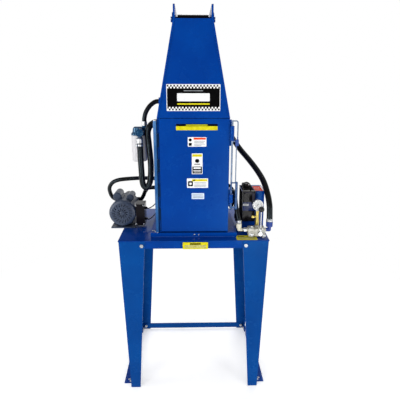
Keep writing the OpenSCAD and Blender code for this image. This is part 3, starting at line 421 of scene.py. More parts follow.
class Effects:
    """Node groups that several finishes share, each made once."""

    made: ClassVar[dict[Effect, bpy.types.NodeTree]] = {}

    @classmethod
    def group(cls, effect: Effect) -> bpy.types.NodeTree:
        """Gives the group of an effect, and builds it the first time."""
        if effect not in cls.made:
            cls.made[effect] = getattr(cls, effect.value)()
        return cls.made[effect]

    @staticmethod
    def start(name: str, takes: dict[str, str], gives: dict[str, str]) -> tuple[Graph, dict, dict]:
        """Opens a group.

        Args:
            name: the group's name.
            takes: kind of each input, by name.
            gives: kind of each output, by name.

        Returns:
            Its graph, the sockets that bring its inputs, and the sockets that take its outputs.
        """
        tree = bpy.data.node_groups.new(name, "ShaderNodeTree")
        for key, kind in takes.items():
            tree.interface.new_socket(key, in_out="INPUT", socket_type="NodeSocket" + kind)
        for key, kind in gives.items():
            tree.interface.new_socket(key, in_out="OUTPUT", socket_type="NodeSocket" + kind)
        source = tree.nodes.new("NodeGroupInput")
        target = tree.nodes.new("NodeGroupOutput")
        return (Graph(tree), {k: source.outputs[k] for k in takes}, {k: target.inputs[k] for k in gives})

    @staticmethod
    def cloudy_colour() -> bpy.types.NodeTree:
        """Colour that drifts between a deeper and a paler tone in broad soft clouds.

        Returns:
            The group.
        """
        g, takes, gives = Effects.start(
            "cloudy_colour", {"Middle": "Color", "Deep": "Color", "Pale": "Color", "Scale": "Float",
                              "Amount": "Float"}, {"Colour": "Color"})
        cloud = g.noise(g.place(), takes["Scale"], 3.0, 0.55)
        deep = g.math("MULTIPLY", g.span(cloud, 0.5, 0.28), takes["Amount"])
        pale = g.math("MULTIPLY", g.span(cloud, 0.5, 0.72), takes["Amount"])
        g.feed(gives["Colour"], g.mix(pale, g.mix(deep, takes["Middle"], takes["Deep"]), takes["Pale"]))
        return g.tree

    @staticmethod
    def rolled_edge() -> bpy.types.NodeTree:
        """Normal that turns softly over each edge, and a mask of the edges.

        Returns:
            The group.
        """
        g, takes, gives = Effects.start("rolled_edge", {"Radius": "Float"},
                                        {"Normal": "Vector", "Edge": "Float"})
        soft = g.node("Bevel", {"Radius": takes["Radius"]}, samples=6).outputs["Normal"]
        hard = g.node("NewGeometry").outputs["Normal"]
        same = g.node("VectorMath", {0: soft, 1: hard}, operation="DOT_PRODUCT").outputs["Value"]
        g.feed(gives["Normal"], soft)
        g.feed(gives["Edge"], g.span(same, 0.97, 0.72))
        return g.tree

    @staticmethod
    def skin_relief() -> bpy.types.NodeTree:
        """Fine and coarse ripples of a sprayed, cast or moulded skin, as a normal.

        Returns:
            The group.
        """
        g, takes, gives = Effects.start(
            "skin_relief", {"Fine Scale": "Float", "Fine Height": "Float", "Coarse Scale": "Float",
                            "Coarse Height": "Float", "Normal": "Vector"}, {"Normal": "Vector"})
        at = g.place()
        fine = g.math("MULTIPLY", g.noise(at, takes["Fine Scale"], 1.5), takes["Fine Height"])
        coarse = g.math("MULTIPLY", g.noise(at, takes["Coarse Scale"], 1.0), takes["Coarse Height"])
        height = g.math("ADD", fine, coarse)
        bump = g.node("Bump", {"Strength": 1.0, "Distance": 1.0, "Height": height,
                               "Normal": takes["Normal"]})
        g.feed(gives["Normal"], bump.outputs["Normal"])
        return g.tree

    @staticmethod
    def settled_dust() -> bpy.types.NodeTree:
        """Mask of thin uneven dust on faces that look up.

        Returns:
            The group.
        """
        g, takes, gives = Effects.start("settled_dust", {"Scale": "Float", "Amount": "Float"},
                                        {"Dust": "Float"})
        up = g.node("SeparateXYZ", {0: g.node("NewGeometry").outputs["Normal"]}).outputs["Z"]
        patch = g.span(g.noise(g.place(), takes["Scale"], 4.0, 0.6), 0.35, 0.75)
        g.feed(gives["Dust"], g.math("MULTIPLY", g.math("MULTIPLY", g.span(up, 0.4, 1.0), patch),
                                     takes["Amount"]))
        return g.tree

    @staticmethod
    def drawn_lines() -> bpy.types.NodeTree:
        """Hair lines of a drawn, turned or brushed metal: noise stretched by the given factors.

        Returns:
            The group.
        """
        g, takes, gives = Effects.start("drawn_lines", {"Stretch": "Vector", "Scale": "Float"},
                                        {"Lines": "Float"})
        at = g.node("VectorMath", {0: g.place(), 1: takes["Stretch"]},
                    operation="MULTIPLY").outputs["Vector"]
        g.feed(gives["Lines"], g.noise(at, takes["Scale"], 3.0, 0.7))
        return g.tree

    @staticmethod
    def cloth_wrap() -> bpy.types.NodeTree:
        """Crossed spiral print of a hose's cloth wrap, on its own turn and run, as a height.

        Returns:
            The group.
        """
        g, takes, gives = Effects.start("cloth_wrap", {"Turns": "Float", "Pitch": "Float"},
                                        {"Height": "Float"})
        split = g.node("SeparateXYZ", {0: g.node("UVMap", uv_map="along").outputs["UV"]})
        around = g.math("MULTIPLY", split.outputs["X"], takes["Turns"])
        run = g.math("DIVIDE", split.outputs["Y"], takes["Pitch"])
        one = g.math("PINGPONG", g.math("ADD", around, run), 0.5)
        two = g.math("PINGPONG", g.math("SUBTRACT", around, run), 0.5)
        g.feed(gives["Height"], g.math("MULTIPLY", g.math("MAXIMUM", one, two), 2.0))
        return g.tree


class Finish:
    """A material that is built once, on first use."""

    name: str

    def build(self, g: Graph, shader: bpy.types.Node) -> None:
        """Sets the shader's values and joins its patterns.

        Args:
            g: the material's graph.
            shader: its main shader.
        """
        raise NotImplementedError

    def material(self) -> bpy.types.Material:
        """Gives the material, and builds it the first time.

        Returns:
            The material.
        """
        found = bpy.data.materials.get(self.name)
        if found:
            return found
        made = bpy.data.materials.new(self.name)
        made.use_nodes = True
        made.node_tree.nodes.clear()
        g = Graph(made.node_tree)
        shader = g.node("BsdfPrincipled")
        self.build(g, shader)
        g.node("OutputMaterial", {"Surface": shader.outputs["BSDF"]})
        return made

    def effect(self, g: Graph, effect: Effect, **values: object) -> bpy.types.Node:
        """Places a shared effect with this finish's own values.

        Args:
            g: the material's graph.
            effect: which effect.
            values: its inputs by name, with an underscore for a space.

        Returns:
            The group node.
        """
        made = g.node("Group")
        made.node_tree = Effects.group(effect)
        for key, value in values.items():
            g.feed(made.inputs[key.replace("_", " ")], value)
        return made


@dataclass(frozen=True)
class Paint(Finish):
    """Sprayed gloss or satin paint, with ripples, softened edges, worn corners and thin dust."""

    name: str
    middle: Rgba
    deep: Rgba
    pale: Rgba
    rough: float = 0.3
    rough_drift: float = 0.1
    specular: float = 0.35
    coat: float = 0.0
    ripple: float = 0.00006
    ripple_scale: float = 420.0
    swell: float = 0.0004
    edge: float = 0.0018
    wear: float = 0.35
    wear_colour: Rgba = (0.08, 0.16, 0.36, 1.0)
    dust: float = 0.06
    amount: float = 0.5
    tint: Rgba = (1.0, 1.0, 1.0, 1.0)

    def build(self, g: Graph, shader: bpy.types.Node) -> None:
        """Paint colour drifts; edges are paler where it is thin; dust dulls what looks up.

        Args:
            g: the material's graph.
            shader: its main shader.
        """
        edge = self.effect(g, Effect.ROLLED_EDGE, Radius=self.edge)
        relief = self.effect(g, Effect.SKIN_RELIEF, Fine_Scale=self.ripple_scale,
                             Fine_Height=self.ripple, Coarse_Scale=5.0, Coarse_Height=self.swell,
                             Normal=edge.outputs["Normal"])
        colour = self.effect(g, Effect.CLOUDY_COLOUR, Middle=self.middle, Deep=self.deep, Pale=self.pale,
                             Scale=3.1, Amount=self.amount).outputs["Colour"]
        scuff = g.math("MULTIPLY", edge.outputs["Edge"], g.span(g.noise(g.place(), 38.0, 4.0, 0.7),
                                                              0.42, 0.62, 0.0, self.wear))
        dust = self.effect(g, Effect.SETTLED_DUST, Scale=9.0, Amount=self.dust).outputs["Dust"]
        worn = g.mix(scuff, colour, self.wear_colour)
        g.feed(shader.inputs["Base Color"], g.mix(dust, worn, shade(176, 180, 188)))
        rough = g.span(g.noise(g.place(), 14.0, 4.0, 0.6), 0.25, 0.75, self.rough - self.rough_drift / 2,
                       self.rough + self.rough_drift / 2)
        dull = g.math("MULTIPLY", dust, 2.0)
        g.feed(shader.inputs["Roughness"], g.math("ADD", rough, dull, clamp=True))
        g.feed(shader.inputs["Normal"], relief.outputs["Normal"])
        shader.inputs["Specular IOR Level"].default_value = self.specular
        shader.inputs["Specular Tint"].default_value = self.tint
        shader.inputs["Coat Weight"].default_value = self.coat
        shader.inputs["Coat Roughness"].default_value = 0.06


@dataclass(frozen=True)
class Metal(Finish):
    """Bare or plated metal, with cloudy tone, drawn or turned lines and softened edges."""

    name: str
    middle: Rgba
    deep: Rgba
    pale: Rgba
    rough: float = 0.3
    cloud_scale: float = 60.0
    amount: float = 0.6
    stretch: Point = (1.0, 1.0, 1.0)
    line_scale: float = 90.0
    line_height: float = 0.00002
    grain_scale: float = 700.0
    grain: float = 0.00001
    edge: float = 0.0008
    metallic: float = 1.0

    def build(self, g: Graph, shader: bpy.types.Node) -> None:
        """Tone drifts in clouds; the lines change both the shine and the relief.

        Args:
            g: the material's graph.
            shader: its main shader.
        """
        edge = self.effect(g, Effect.ROLLED_EDGE, Radius=self.edge)
        lines = self.effect(g, Effect.DRAWN_LINES, Stretch=self.stretch, Scale=self.line_scale)
        relief = self.effect(g, Effect.SKIN_RELIEF, Fine_Scale=self.grain_scale, Fine_Height=self.grain,
                             Coarse_Scale=self.line_scale, Coarse_Height=self.line_height,
                             Normal=edge.outputs["Normal"])
        colour = self.effect(g, Effect.CLOUDY_COLOUR, Middle=self.middle, Deep=self.deep, Pale=self.pale,
                             Scale=self.cloud_scale, Amount=self.amount).outputs["Colour"]
        bright = g.mix(g.math("MULTIPLY", edge.outputs["Edge"], 0.35), colour, self.pale)
        g.feed(shader.inputs["Base Color"], bright)
        g.feed(shader.inputs["Roughness"], g.span(lines.outputs["Lines"], 0.3, 0.7, self.rough - 0.08,
                                                  self.rough + 0.1))
        g.feed(shader.inputs["Normal"], relief.outputs["Normal"])
        shader.inputs["Metallic"].default_value = self.metallic


@dataclass(frozen=True)
class Moulded(Finish):
    """Moulded plastic or rubber with a fine grain."""

    name: str
    middle: Rgba
    deep: Rgba
    pale: Rgba
    rough: float = 0.45
    grain_scale: float = 900.0
    grain: float = 0.00004
    specular: float = 0.4
    dust: float = 0.15

    def build(self, g: Graph, shader: bpy.types.Node) -> None:
        """Grain feeds the relief; dust pales what looks up.

        Args:
            g: the material's graph.
            shader: its main shader.
        """
        edge = self.effect(g, Effect.ROLLED_EDGE, Radius=0.0008)
        relief = self.effect(g, Effect.SKIN_RELIEF, Fine_Scale=self.grain_scale, Fine_Height=self.grain,
                             Coarse_Scale=60.0, Coarse_Height=0.00008, Normal=edge.outputs["Normal"])
        colour = self.effect(g, Effect.CLOUDY_COLOUR, Middle=self.middle, Deep=self.deep, Pale=self.pale,
                             Scale=24.0, Amount=0.7).outputs["Colour"]
        dust = self.effect(g, Effect.SETTLED_DUST, Scale=30.0, Amount=self.dust).outputs["Dust"]
        g.feed(shader.inputs["Base Color"], g.mix(dust, colour, shade(150, 152, 156)))
        g.feed(shader.inputs["Roughness"], g.span(g.noise(g.place(), 40.0, 3.0), 0.3, 0.7,
                                                  self.rough - 0.07, self.rough + 0.07))
        g.feed(shader.inputs["Normal"], relief.outputs["Normal"])
        shader.inputs["Specular IOR Level"].default_value = self.specular


@dataclass(frozen=True)
class HoseCover(Finish):
    """Hose rubber with the crossed print of its cloth wrap."""

    name: str
    middle: Rgba
    pale: Rgba
    rough: float = 0.2
    specular: float = 0.42
    turns: float = 9.0
    pitch: float = 0.006

    def build(self, g: Graph, shader: bpy.types.Node) -> None:
        """The wrap's ridges are paler and smoother than the valleys between them.

        Args:
            g: the material's graph.
            shader: its main shader.
        """
        wrap = self.effect(g, Effect.CLOTH_WRAP, Turns=self.turns, Pitch=self.pitch).outputs["Height"]
        edge = g.node("Bump", {"Strength": 0.35, "Distance": 0.0002, "Height": wrap})
        cloud = g.span(g.noise(g.place(), 22.0, 3.0), 0.3, 0.7)
        share = g.math("MULTIPLY", wrap, cloud)
        g.feed(shader.inputs["Base Color"], g.mix(share, self.middle, self.pale))
        g.feed(shader.inputs["Roughness"], g.span(cloud, 0.0, 1.0, self.rough - 0.06, self.rough + 0.1))
        g.feed(shader.inputs["Normal"], edge.outputs["Normal"])
        shader.inputs["Specular IOR Level"].default_value = self.specular
        shader.inputs["Specular Tint"].default_value = shade(176, 204, 222)


@dataclass(frozen=True)
class ClearGlass(Finish):
    """Thin clear instrument glass, faintly green and a little uneven."""

    name: str

    def build(self, g: Graph, shader: bpy.types.Node) -> None:
        """A clear body with a slow ripple and smears that dull it.

        Args:
            g: the material's graph.
            shader: its main shader.
        """
        relief = self.effect(g, Effect.SKIN_RELIEF, Fine_Scale=90.0, Fine_Height=0.000004,
                             Coarse_Scale=20.0, Coarse_Height=0.00002,
                             Normal=g.node("NewGeometry").outputs["Normal"])
        g.feed(shader.inputs["Base Color"], self.effect(
            g, Effect.CLOUDY_COLOUR, Middle=(0.97, 0.99, 0.98, 1), Deep=(0.94, 0.98, 0.96, 1),
            Pale=(1, 1, 1, 1), Scale=30.0, Amount=0.5).outputs["Colour"])
        g.feed(shader.inputs["Roughness"], g.span(g.noise(g.place(), 120.0, 3.0), 0.3, 0.8, 0.02, 0.08))
        g.feed(shader.inputs["Normal"], relief.outputs["Normal"])
        shader.inputs["Alpha"].default_value = 0.16
        shader.inputs["Specular IOR Level"].default_value = 0.5


@dataclass(frozen=True)
class Print(Finish):
    """One printed colour of a vinyl or metal plate, a little uneven and finely scratched."""

    name: str
    middle: Rgba
    deep: Rgba
    pale: Rgba
    rough: float = 0.38
    metallic: float = 0.0
    specular: float = 0.3

    def build(self, g: Graph, shader: bpy.types.Node) -> None:
        """The ink drifts in tone; long fine scratches change the shine.

        Args:
            g: the material's graph.
            shader: its main shader.
        """
        colour = self.effect(g, Effect.CLOUDY_COLOUR, Middle=self.middle, Deep=self.deep, Pale=self.pale,
                             Scale=55.0, Amount=0.6).outputs["Colour"]
        lines = self.effect(g, Effect.DRAWN_LINES, Stretch=(1.0, 1.0, 22.0), Scale=60.0).outputs["Lines"]
        relief = self.effect(g, Effect.SKIN_RELIEF, Fine_Scale=500.0, Fine_Height=0.00001,
                             Coarse_Scale=35.0, Coarse_Height=0.00006,
                             Normal=g.node("NewGeometry").outputs["Normal"])
        g.feed(shader.inputs["Base Color"], colour)
        g.feed(shader.inputs["Roughness"], g.span(lines, 0.3, 0.7, self.rough - 0.08, self.rough + 0.08))
        g.feed(shader.inputs["Normal"], relief.outputs["Normal"])
        shader.inputs["Metallic"].default_value = self.metallic
        shader.inputs["Specular IOR Level"].default_value = self.specular


@dataclass(frozen=True)
class CheckedPrint(Finish):
    """Printed squares in two colours, counted from a corner of the plate."""

    name: str
    first: Rgba
    second: Rgba
    corner: Point
    square: float

    def build(self, g: Graph, shader: bpy.types.Node) -> None:
        """A square is the second colour where its column and row numbers add up to an odd number.

        Args:
            g: the material's graph.
            shader: its main shader.
        """
        at = g.node("Mapping", {"Vector": g.place(), "Location": tuple(-c for c in self.corner)})
        split = g.node("SeparateXYZ", {0: at.outputs["Vector"]})
        count = [g.math("FLOOR", g.math("DIVIDE", split.outputs[k], self.square)) for k in ("X", "Z")]
        odd = g.math("FLOORED_MODULO", g.math("ADD", count[0], count[1]), 2.0)
        lines = self.effect(g, Effect.DRAWN_LINES, Stretch=(1.0, 1.0, 22.0), Scale=60.0).outputs["Lines"]
        g.feed(shader.inputs["Base Color"], g.mix(g.span(odd, 0.4, 0.6), self.first, self.second))
        g.feed(shader.inputs["Roughness"], g.span(lines, 0.3, 0.7, 0.3, 0.46))
        shader.inputs["Specular IOR Level"].default_value = 0.05


SHINE = shade(120, 200, 255)
BLUE = Paint("machine_blue_paint", shade(0, 53, 139), shade(0, 41, 121), shade(0, 67, 156), rough=0.26,
             specular=0.3, dust=0.012, tint=SHINE)
BLUE_TOP = Paint("table_blue_gloss", shade(0, 53, 137), shade(0, 42, 120), shade(0, 70, 158), rough=0.15,
                 specular=0.28, dust=0.01, tint=SHINE)
# Painted light: the base plate takes a paler copy of the machine blue, for how light falls on it.
PLATE_BLUE_LIT = Paint("base_plate_blue_with_painted_light", shade(0, 57, 144), shade(0, 46, 127), shade(0, 73, 164), rough=0.3,
                   specular=0.08, dust=0.004, tint=SHINE)
# Painted light: the legs and rear crossbar take a greener copy of the machine blue, for how light falls
# on them.
LEG_BLUE_LIT = Paint("leg_blue_with_painted_light", shade(0, 61, 134), shade(0, 48, 116), shade(0, 76, 151), rough=0.26,
                 specular=0.3, dust=0.012, tint=SHINE)
# Painted highlight: the hinge barrel is the same blue paint as the rest, made paler with pale flecks for
# the shine along it.
HINGE_LIT_PAINT = Paint("hinge_paint_with_painted_highlight", shade(34, 78, 134), shade(10, 50, 112), shade(88, 134, 188), rough=0.3,
              specular=0.4, tint=SHINE, amount=0.9)
GREY_COAT = Paint("grey_violet_coat", shade(62, 61, 72), shade(44, 43, 54), shade(84, 84, 96), rough=0.4,
                  specular=0.1, dust=0.02, wear_colour=shade(150, 150, 160))
TEAL = Paint("filter_head_gloss", shade(6, 50, 88), shade(0, 30, 60), shade(26, 84, 128), rough=0.14,
             specular=1.0, dust=0.0, tint=shade(150, 215, 255))
NAVY = Paint("motor_navy_enamel", shade(38, 49, 70), shade(25, 33, 51), shade(64, 77, 99), rough=0.32,
             ripple=0.00012, specular=0.4, dust=0.04, wear_colour=shade(120, 128, 150))
BLACK = Paint("gloss_black_enamel", shade(15, 12, 16), shade(7, 6, 9), shade(27, 22, 27), rough=0.22,
              specular=0.14, dust=0.015, wear_colour=shade(60, 62, 68))
MATTE = Paint("matte_black_coat", shade(12, 10, 12), shade(6, 5, 7), shade(20, 18, 20), rough=0.7,
              specular=0.01, dust=0.01, wear=0.1)
WHITE = Paint("filter_white_enamel", shade(207, 206, 209), shade(190, 190, 196), shade(222, 221, 222),
              rough=0.3, specular=0.4, dust=0.03, wear_colour=shade(196, 200, 206), ripple=0.00003)
ZINC = Metal("zinc_plate", shade(196, 198, 200), shade(150, 152, 158), shade(232, 232, 230), rough=0.34)
BRASS = Metal("yellow_brass", shade(206, 186, 104), shade(158, 134, 62), shade(234, 220, 160), rough=0.3)
STEEL = Metal("turned_bright_steel", shade(200, 202, 206), shade(160, 162, 168), shade(236, 237, 240),
              rough=0.2, stretch=(1.0, 1.0, 12.0), line_scale=160.0)
GEAR = Metal("ground_gear_steel", shade(178, 180, 184), shade(132, 134, 140), shade(222, 224, 228),
             rough=0.32, stretch=(1.0, 6.0, 1.0))
CAST = Metal("cast_grey_valve", shade(206, 205, 196), shade(160, 158, 148), shade(236, 235, 228),
             rough=0.5, cloud_scale=34.0, grain_scale=420.0, grain=0.00022, line_height=0.0003,
             edge=0.0022, metallic=0.35)
PLASTIC = Moulded("black_moulding", shade(22, 22, 24), shade(12, 12, 14), shade(40, 40, 44), rough=0.36)
SEAL = Moulded("moulded_seal", shade(30, 30, 31), shade(16, 16, 17), shade(48, 48, 50), rough=0.6)
LEAD = Moulded("lead_sheath", shade(18, 19, 21), shade(10, 10, 12), shade(36, 38, 42), rough=0.4,
               grain=0.00002, dust=0.05)
HOSE = HoseCover("wrapped_hose_cover", shade(12, 10, 9), shade(30, 27, 23))
GLASS = ClearGlass("gauge_glass")
INK_WHITE = Print("ink_white", shade(238, 239, 240), shade(222, 224, 228), shade(247, 247, 247))
INK_BLACK = Print("ink_black", shade(6, 6, 7), shade(3, 3, 4), shade(11, 11, 12), specular=0.03)
INK_YELLOW = Print("ink_yellow", shade(210, 200, 18), shade(186, 174, 12), shade(226, 216, 56),
                   specular=0.12)
INK_ORANGE = Print("ink_orange", shade(228, 62, 18), shade(206, 48, 12), shade(238, 90, 40),
                   specular=0.02)
INK_PALE = Print("ink_pale_blue", shade(200, 216, 234), shade(180, 200, 222), shade(222, 232, 242))
INK_GREY = Print("ink_grey", shade(130, 134, 140), shade(104, 108, 116), shade(168, 172, 178))
ALLOY = Print("bare_alloy", shade(196, 198, 202), shade(168, 170, 176), shade(220, 222, 225), rough=0.36,
              metallic=0.85)
WELD = Paint("painted_weld", shade(2, 62, 150), shade(1, 46, 128), shade(10, 84, 176), rough=0.34,
             specular=0.3, ripple=0.0005, ripple_scale=260.0, edge=0.0006)


def dress(piece: bpy.types.Object, body: Body, finish: Finish, slot: Slot,
          replaced: tuple[str, ...] = ()) -> bpy.types.Object:
    """Gives a piece its finish and its place in the machine.

    Args:
        piece: the new object.
        body: the body that it rides on.
        finish: what it is finished in.
        slot: the record's material slot; not used.
        replaced: nodes that it stands for.

    Returns:
        The piece.
    """
    piece.data.materials.clear()
    piece.data.materials.append(finish.material())
    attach(piece, body.value)
    if replaced:
        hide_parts(*replaced)
    LOG.info("%s on %s in %s, %d faces", piece.name, body.value, finish.name,
             len(piece.data.polygons))
    return piece


def add_piece(name: str, skin: Skin, finish: Finish, slot: Slot, body: Body = Body.FRAME,
              smooth: bool = False) -> bpy.types.Object:
    """Makes a skin a piece and dresses it.

    Args:
        name: the piece's name.
        skin: its points and faces.
        finish: what it is finished in.
        slot: the record's material slot.
        body: the body that it rides on.
        smooth: whether the faces shade as one curved surface.

    Returns:
        The piece.
    """
    return dress(piece_from(name, *skin, smooth=smooth), body, finish, slot)


@dataclass(frozen=True)
class Zone:
    """A box in the part's frame whose inside has its own colour and metal share."""

    low: Point
    high: Point
    colour: Rgba
    metallic: float


@dataclass(frozen=True)
class Zoned(Finish):
    """Plated fittings whose separate pieces differ in metal or paint by where they stand."""

    name: str
    base: Finish
    zones: tuple[Zone, ...]
    metallic: float = 1.0

    def build(self, g: Graph, shader: bpy.types.Node) -> None:
        """Each zone's mask is one inside its box; the cloudy tone of the base stays over all.

        Args:
            g: the material's graph.
            shader: its main shader.
        """
        self.base.build(g, shader)
        tone = shader.inputs["Base Color"].links[0].from_socket
        split = g.node("SeparateXYZ", {0: g.place()})
        colour, metal = tone, self.metallic
        for zone in self.zones:
            inside: object = 1.0
            for axis, low, high in zip("XYZ", zone.low, zone.high):
                value = split.outputs[axis]
                both = g.math("MULTIPLY", g.math("GREATER_THAN", value, low),
                              g.math("LESS_THAN", value, high))
                inside = g.math("MULTIPLY", inside, both)
            cloud = g.span(g.noise(g.place(), 60.0, 3.0), 0.3, 0.7, 0.75, 1.15)
            tint = g.node("VectorMath", {0: zone.colour[:3]}, operation="SCALE")
            g.feed(tint.inputs["Scale"], cloud)
            colour = g.mix(inside, colour, tint.outputs["Vector"])
            metal = g.node("Mix", {"Factor": inside, "A": metal, "B": zone.metallic}).outputs[0]
        g.feed(shader.inputs["Base Color"], colour)
        g.feed(shader.inputs["Metallic"], metal)


# ---------------------------------------------------------------- plates and labels


@dataclass(frozen=True)
class Ink:
    """One printed field of a plate: its finish, centre, size and layer, in millimetres."""

    finish: Finish
    x: float
    z: float
    width: float
    height: float
    layer: int = 1
    corner: float = 0.6


@dataclass(frozen=True)
class Plate:
    """A thin plate or vinyl label with layered fields, on one face of a body, in millimetres."""

    name: str
    body: Body
    face: Face
    width: float
    height: float
    ground: Finish
    inks: tuple[Ink, ...] = ()
    corner: float = 3.0
    thick: float = 0.5
    step: float = 0.16
    ease: float = 0.06
    sunk: float = 0.05

    def slab(self, x: float, z: float, width: float, height: float, corner: float, bottom: float,
             top: float) -> Skin:
        """A rounded field at the given place and height."""
        outline = rounded_rectangle(width * MM, height * MM, min(corner, width / 2, height / 2) * MM)
        return self.face.slab(outline, bottom * MM, top * MM, ease=self.ease * MM, at=(x * MM, z * MM))

    def build(self) -> None:
        """Makes the ground and then one piece for each ink."""
        ground = self.slab(0, 0, self.width, self.height, self.corner, 0.0, self.thick)
        add_piece(self.name, ground, self.ground, Slot.WHITE_ENAMEL, self.body)
        by_ink: dict[Finish, list] = {}
        for ink in self.inks:
            low = self.thick + (ink.layer - 1) * self.step
            by_ink.setdefault(ink.finish, []).append(self.slab(
                ink.x, ink.z, ink.width, ink.height, ink.corner, low - self.sunk, low + self.step))
        for finish, slabs in by_ink.items():
            add_piece(f"{self.name}_{finish.name}", joined(slabs), finish, Slot.WHITE_ENAMEL, self.body)


@dataclass(frozen=True)
class Labels:
    """Every plate on the machine: a nameplate with no name, colour labels with no words.

    The first six fields place the faces that carry them, in metres. All else is in millimetres.
    """

    hood_y: float
    door_y: float
    skirt_y: float
    table_z: float
    lid_z: float
    box_y: float
    check: float = 8.9
    checks: int = 32
    check_start: float = 142.4
    check_rise: float = 57.2

    def checked(self, name: str, middle: Point, z: float) -> Ink:
        """A strip of two rows of squares.

        Args:
            name: the strip's own word.
            middle: the plate's centre.
            z: the strip's height from there.

        Returns:
            The printed field.
        """
        corner = (middle[0] - self.check_start * MM, 0.0, middle[2] + z * MM)
        finish = CheckedPrint(f"checked_ink_{name}", shade(5, 5, 6), shade(240, 240, 240), corner,
                              self.check * MM)
        return Ink(finish, 0, z, self.checks * self.check - 2, 2 * self.check, 2)

    def front(self, name: str, body: Body, y: float, sides: tuple[float, float, float, float],
              ground: Finish, inks: tuple[Ink, ...], corner: float = 3.0,
              thick: float = 0.5) -> Plate:
        """A plate on a face that looks to the front.

        Args:
            name: the plate's name.
            body: the body that it rides on.
            y: the face's place.
            sides: its left and right side, its foot and its top.
            ground: what it is finished in.
            inks: its printed fields.
            corner: its corner radius.
            thick: its thickness.

        Returns:
            The plate.
        """
        x0, x1, z0, z1 = sides
        face = Face(((x0 + x1) / 2 * MM, y, (z0 + z1) / 2 * MM))
        return Plate(name, body, face, x1 - x0, z1 - z0, ground, inks, corner, thick)

    def flat(self, name: str, place: Point, size: Spot, ground: Finish, inks: tuple[Ink, ...]) -> Plate:
        """A plate that lies on a top."""
        centre = (place[0] * MM, place[1] * MM, place[2])
        return Plate(name, Body.FRAME, Face(centre, *LOOKS_UP), *size, ground, inks)

    def name_plate(self) -> Plate:
        """White-edged black plate with checked strips round a blank field.

        Returns:
            The plate.
        """
        blank = self.front("hood_plate", Body.FRAME, self.hood_y, (-145, 145, 1713, 1853), INK_WHITE, (),
                           thick=0.8)
        middle = blank.face.centre
        return replace(blank, inks=(
            Ink(INK_BLACK, 0, 0, 283, 133, 1, 3), self.checked("top", middle, self.check_rise),
            self.checked("foot", middle, -self.check_rise), Ink(INK_WHITE, 0, 2, 176, 42, 2, 4),
            Ink(INK_YELLOW, 0, -33, 176, 7, 2, 1), Ink(INK_GREY, 0, 36, 104, 4, 2, 1)))

    def door_labels(self) -> list[Plate]:
        """The five labels down the door: coloured heads, plain marks and grey bars."""
        rows = (
            ("header_label", (-96, 132, 1610, 1644), INK_YELLOW, (
                Ink(INK_BLACK, 0, 11, 228, 12, 1, 2), Ink(INK_YELLOW, 0, 11, 118, 5, 2)), 1.5),
            ("label_a", (-32, 71, 1520, 1572), INK_WHITE, (
                Ink(INK_ORANGE, 14, 18, 68, 11), Ink(INK_BLACK, -38, 11, 17, 17, 1, 8),
                Ink(INK_BLACK, -38, -13, 17, 17, 1, 3), Ink(INK_GREY, 14, 4, 62, 3),
                Ink(INK_GREY, 10, -4, 54, 3), Ink(INK_GREY, 14, -12, 62, 3),
                Ink(INK_GREY, 4, -19, 42, 3)), 3.0),
            ("label_b", (-10, 50, 1365, 1482), INK_WHITE, (
                Ink(INK_YELLOW, 0, 47, 54, 14), Ink(INK_BLACK, 0, 17, 24, 22, 1, 10),
                Ink(INK_BLACK, 0, -2, 34, 5, 1, 2), Ink(INK_BLACK, 0, -35, 54, 40),
                Ink(INK_WHITE, 0, -24, 40, 9, 2), Ink(INK_WHITE, 0, -38, 44, 3, 2),
                Ink(INK_WHITE, 0, -46, 40, 3, 2)), 3.0),
            ("label_c", (-38, 82, 1285, 1340), INK_WHITE, (
                Ink(INK_YELLOW, 12, 17, 88, 13), Ink(INK_BLACK, -40, -3, 28, 30, 1, 4),
                Ink(INK_WHITE, -40, -3, 14, 14, 2, 7), Ink(INK_BLACK, -20, 17, 12, 8, 2, 4),
                *(Ink(INK_GREY, 16, z, 70, 3) for z in (3, -5, -13, -20))), 3.0),
            ("label_d", (-12, 60, 1219, 1254), INK_PALE, tuple(
                Ink(INK_GREY, 0, z, 60, 3) for z in (8, 0, -8)), 3.0))
        return [self.front(name, Body.DOOR, self.door_y, sides, ground, inks, corner)
                for name, sides, ground, inks, corner in rows]

    def bench_labels(self) -> list[Plate]:
        """The labels on the skirt, the table, the tank's lid and the control box."""
        return [
            self.front("skirt_label", Body.FRAME, self.skirt_y, (-64, 81, 939, 981), INK_YELLOW, (
                Ink(INK_BLACK, 0, 11, 62, 9, 1, 2),
                *(Ink(INK_GREY, 0, z, 122, 3) for z in (1, -6, -13)))),
            self.flat("table_label", (308, -283, self.table_z), (120, 76), INK_YELLOW, (
                Ink(INK_BLACK, -30, 18, 40, 9, 1, 2),
                *(Ink(INK_GREY, 0, z, 100, 4) for z in (3, -9, -21)))),
            self.flat("lid_label", (403, -64, self.lid_z), (56, 124), INK_ORANGE, (
                Ink(INK_WHITE, 24, 0, 7, 122), Ink(INK_WHITE, -8, -44, 34, 6),
                Ink(INK_WHITE, -8, 0, 34, 4), Ink(INK_WHITE, -8, 24, 34, 4))),
            self.front("box_label", Body.FRAME, self.box_y, (299, 333, 1148, 1160), INK_WHITE, (
                Ink(INK_GREY, 0, 2, 26, 2), Ink(INK_GREY, -3, -2, 20, 2)), 1.5)]

    def build(self) -> None:
        """Makes the plates from the hood down."""
        for plate in (self.name_plate(), *self.door_labels(), *self.bench_labels()):
            plate.build()


# ---------------------------------------------------------------- hoses and leads


